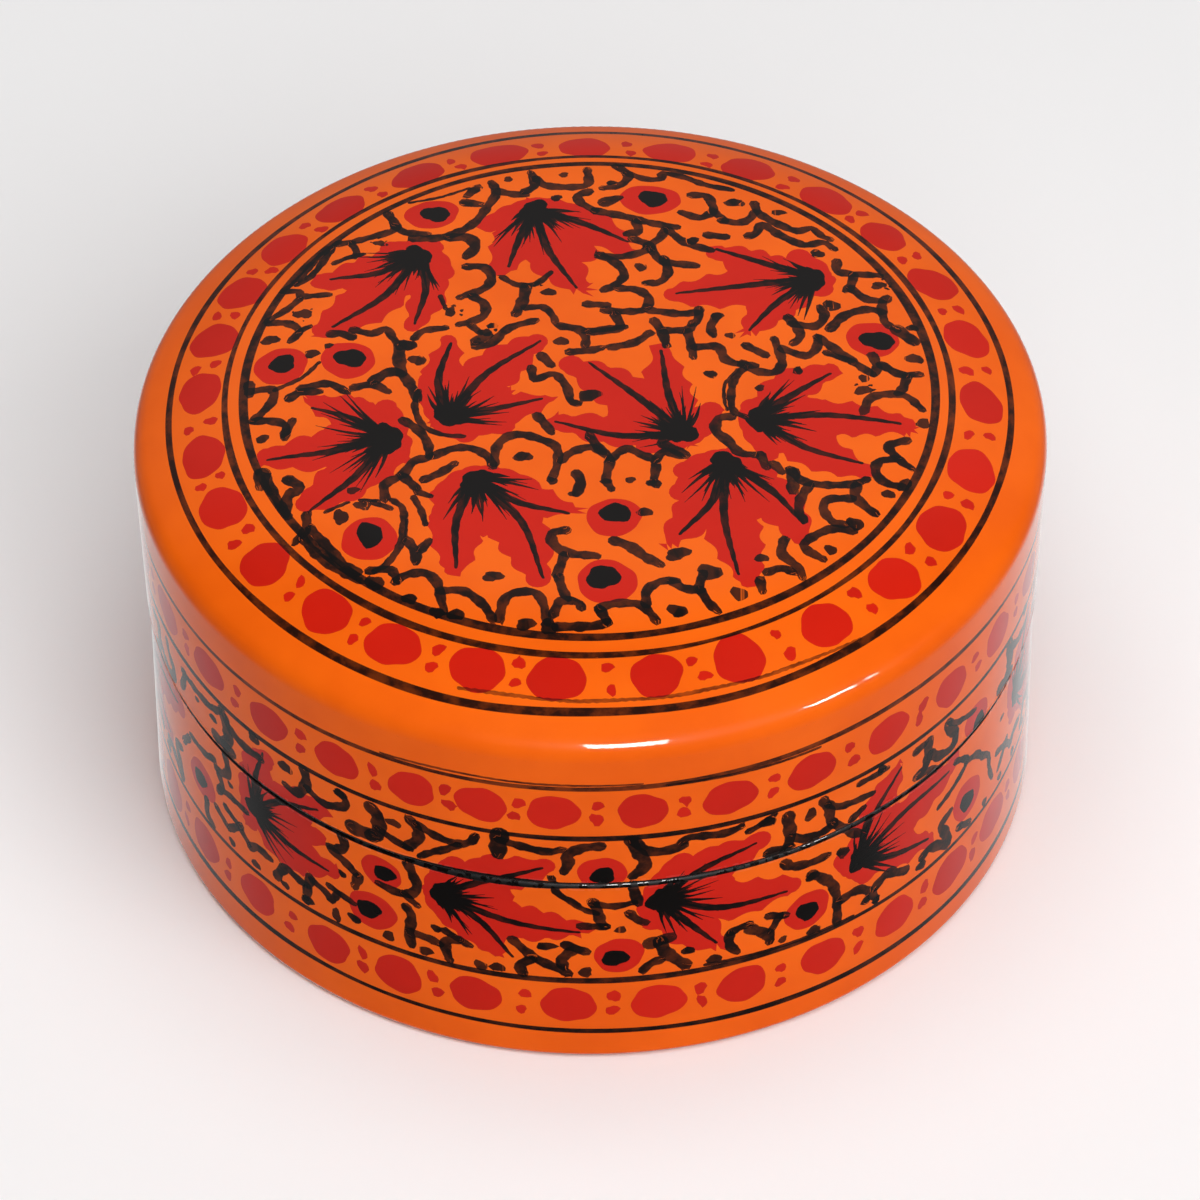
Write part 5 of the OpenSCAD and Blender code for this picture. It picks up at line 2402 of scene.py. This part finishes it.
def dress(piece: bpy.types.Object, body: str, node: str) -> bpy.types.Object:
    """Ties a finished piece to the frame.

    Args:
        piece: The piece.
        body: The body that it moves with.
        node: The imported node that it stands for.

    Returns:
        The piece.
    """
    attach(piece, body)
    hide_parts(node)
    log.info("%s: %d triangles or quads, rides on %s", piece.name, len(piece.data.polygons), body)
    return piece


# ---------------------------------------------------------------- the photo's view


@dataclass(frozen=True)
class Studio:
    """The photo's camera, floor and light, in metres, radians and watts, and a lens in millimetres."""

    distance: float = 1.2
    elevation: float = 0.7764
    yaw: float = 0.0013
    pitch: float = 0.0022
    roll: float = -0.0094
    lens: float = 267.72
    aim_height: float = 0.030
    floor: str = "#f7f6f6"
    overhead_power: float = 17.4
    key_power: float = 18.2
    strip_power: float = 23.0
    lamp_power: float = 8.5
    second_lamp_power: float = 1.6

    def camera(self) -> bpy.types.Object:
        """Sets up the camera, as solved from the photo.

        Returns:
            The camera.
        """
        bpy.ops.object.camera_add()
        cam = bpy.context.object
        cam.name = "camera"
        cam.data.lens = self.lens
        cam.data.sensor_width = 36
        cam.data.clip_start, cam.data.clip_end = 0.05, 20
        e, down = self.elevation, self.elevation + self.pitch
        where = Vector((0, -self.distance * math.cos(e), self.aim_height + self.distance * math.sin(e)))
        ahead = Vector((math.sin(self.yaw) * math.cos(down), math.cos(self.yaw) * math.cos(down), -math.sin(down)))
        right = Vector((math.cos(self.yaw), -math.sin(self.yaw), 0))
        up = right.cross(ahead)
        right, up = (
            math.cos(self.roll) * right + math.sin(self.roll) * up,
            -math.sin(self.roll) * right + math.cos(self.roll) * up,
        )
        cam.matrix_world = Matrix.Translation(where) @ Matrix((right, up, -ahead)).transposed().to_4x4()
        bpy.context.scene.camera = cam
        return cam

    def backdrop(self) -> bpy.types.Object:
        """Lays a plain pale floor.

        Returns:
            The floor.
        """
        bpy.ops.object.select_all(action="DESELECT")
        bpy.ops.mesh.primitive_plane_add(size=6, location=(0, 0, -0.0002))
        plane = bpy.context.object
        plane.name = "floor"
        plane.visible_glossy = False
        material = bpy.data.materials.new("pale_floor")
        g = Graph(material)
        surface = {"Base Color": srgb(self.floor), "Roughness": 0.9, "Specular IOR Level": 0.1}
        g.add("OutputMaterial", {"Surface": g.add("BsdfPrincipled", surface)})
        plane.data.materials.append(material)
        return plane

    def area(self, name: str, where: Point3, size: Point, power: float) -> bpy.types.Object:
        """A soft light that faces the box.

        Args:
            name: The light's name.
            where: Its place in metres.
            size: Its width and height in metres.
            power: Its power in watts.

        Returns:
            The light.
        """
        bpy.ops.object.light_add(type="AREA", location=where)
        light = bpy.context.object
        light.name = name
        light.data.shape = "RECTANGLE"
        light.data.size, light.data.size_y = size
        light.data.energy = power
        light.rotation_euler = (Vector((0, 0, 0.04)) - Vector(where)).to_track_quat("-Z", "Y").to_euler()
        return light

    def light(self) -> None:
        """Soft light from above and from the front right, in a room that the varnish mirrors dimly."""
        overhead = self.area("overhead", (0.0, -0.15, 1.7), (1.5, 1.5), self.overhead_power)
        key = self.area("key", (0.55, -1.06, 1.15), (1.7, 0.9), self.key_power)
        overhead.visible_glossy = key.visible_glossy = False
        for name, where, size, power in (
            ("strip", (0.14, -0.95, 0.83), (0.34, 0.36), self.strip_power),
            ("lamp", (0.86, -0.57, 0.70), (0.22, 0.15), self.lamp_power),
            ("second_lamp", (0.95, -0.40, 0.69), (0.07, 0.06), self.second_lamp_power),
        ):
            self.area(name, where, size, power).visible_diffuse = False
        self.room()

    def room(self) -> None:
        """The room: what the varnish mirrors of the pale floor, dark in front, and the wall behind."""
        world = bpy.data.worlds.new("room")
        bpy.context.scene.world = world
        g = Graph(world)
        ways = g.add("SeparateXYZ", {0: g.add("TexCoord").outputs["Generated"]}).outputs
        floor, backward, rightward, wall, upward = (
            g.add("MapRange", {0: ways[axis], 1: low, 2: high, 3: to_low, 4: to_high}, **SMOOTH)
            for axis, low, high, to_low, to_high in (
                (2, -0.62, -0.35, 1.0, 0.0),
                (1, -0.4, 0.75, 0.08, 0.6),
                (0, -0.5, 0.5, 0.9, 1.3),
                (1, 0.3, 0.75, 0.04, 0.42),
                (2, 0.25, 0.7, 0.5, 1.2),
            )
        )
        below = g.add("Math", {0: g.add("Math", {0: floor, 1: backward}, **TIMES), 1: rightward}, **TIMES)
        behind = g.add("Math", {0: wall, 1: upward}, **TIMES)
        strength = g.add("Math", {0: below, 1: behind}, **PLUS)
        g.add("OutputWorld", {"Surface": g.add("Background", {"Color": (1, 1, 1, 1), "Strength": strength})})


def main() -> None:
    """Builds the box and its view."""
    logging.basicConfig(level=logging.INFO, format="%(message)s")
    scene = bpy.context.scene
    scene.view_settings.view_transform = "Standard"
    studio = Studio()
    studio.camera()
    studio.backdrop()
    studio.light()
    lacquer = lacquer_material(LacquerFinish())
    inside = inside_material(InsideFinish())
    felt = felt_material(FeltFinish())
    painter = Painter()
    lid = Lid(painter, lacquer, inside)
    lid.crown()
    lid.hoop()
    base = Base(painter, lacquer, inside, felt)
    base.hoop()
    base.collar()
    base.lining()
    base.floor_board()


if __name__ == "__main__":
    main()
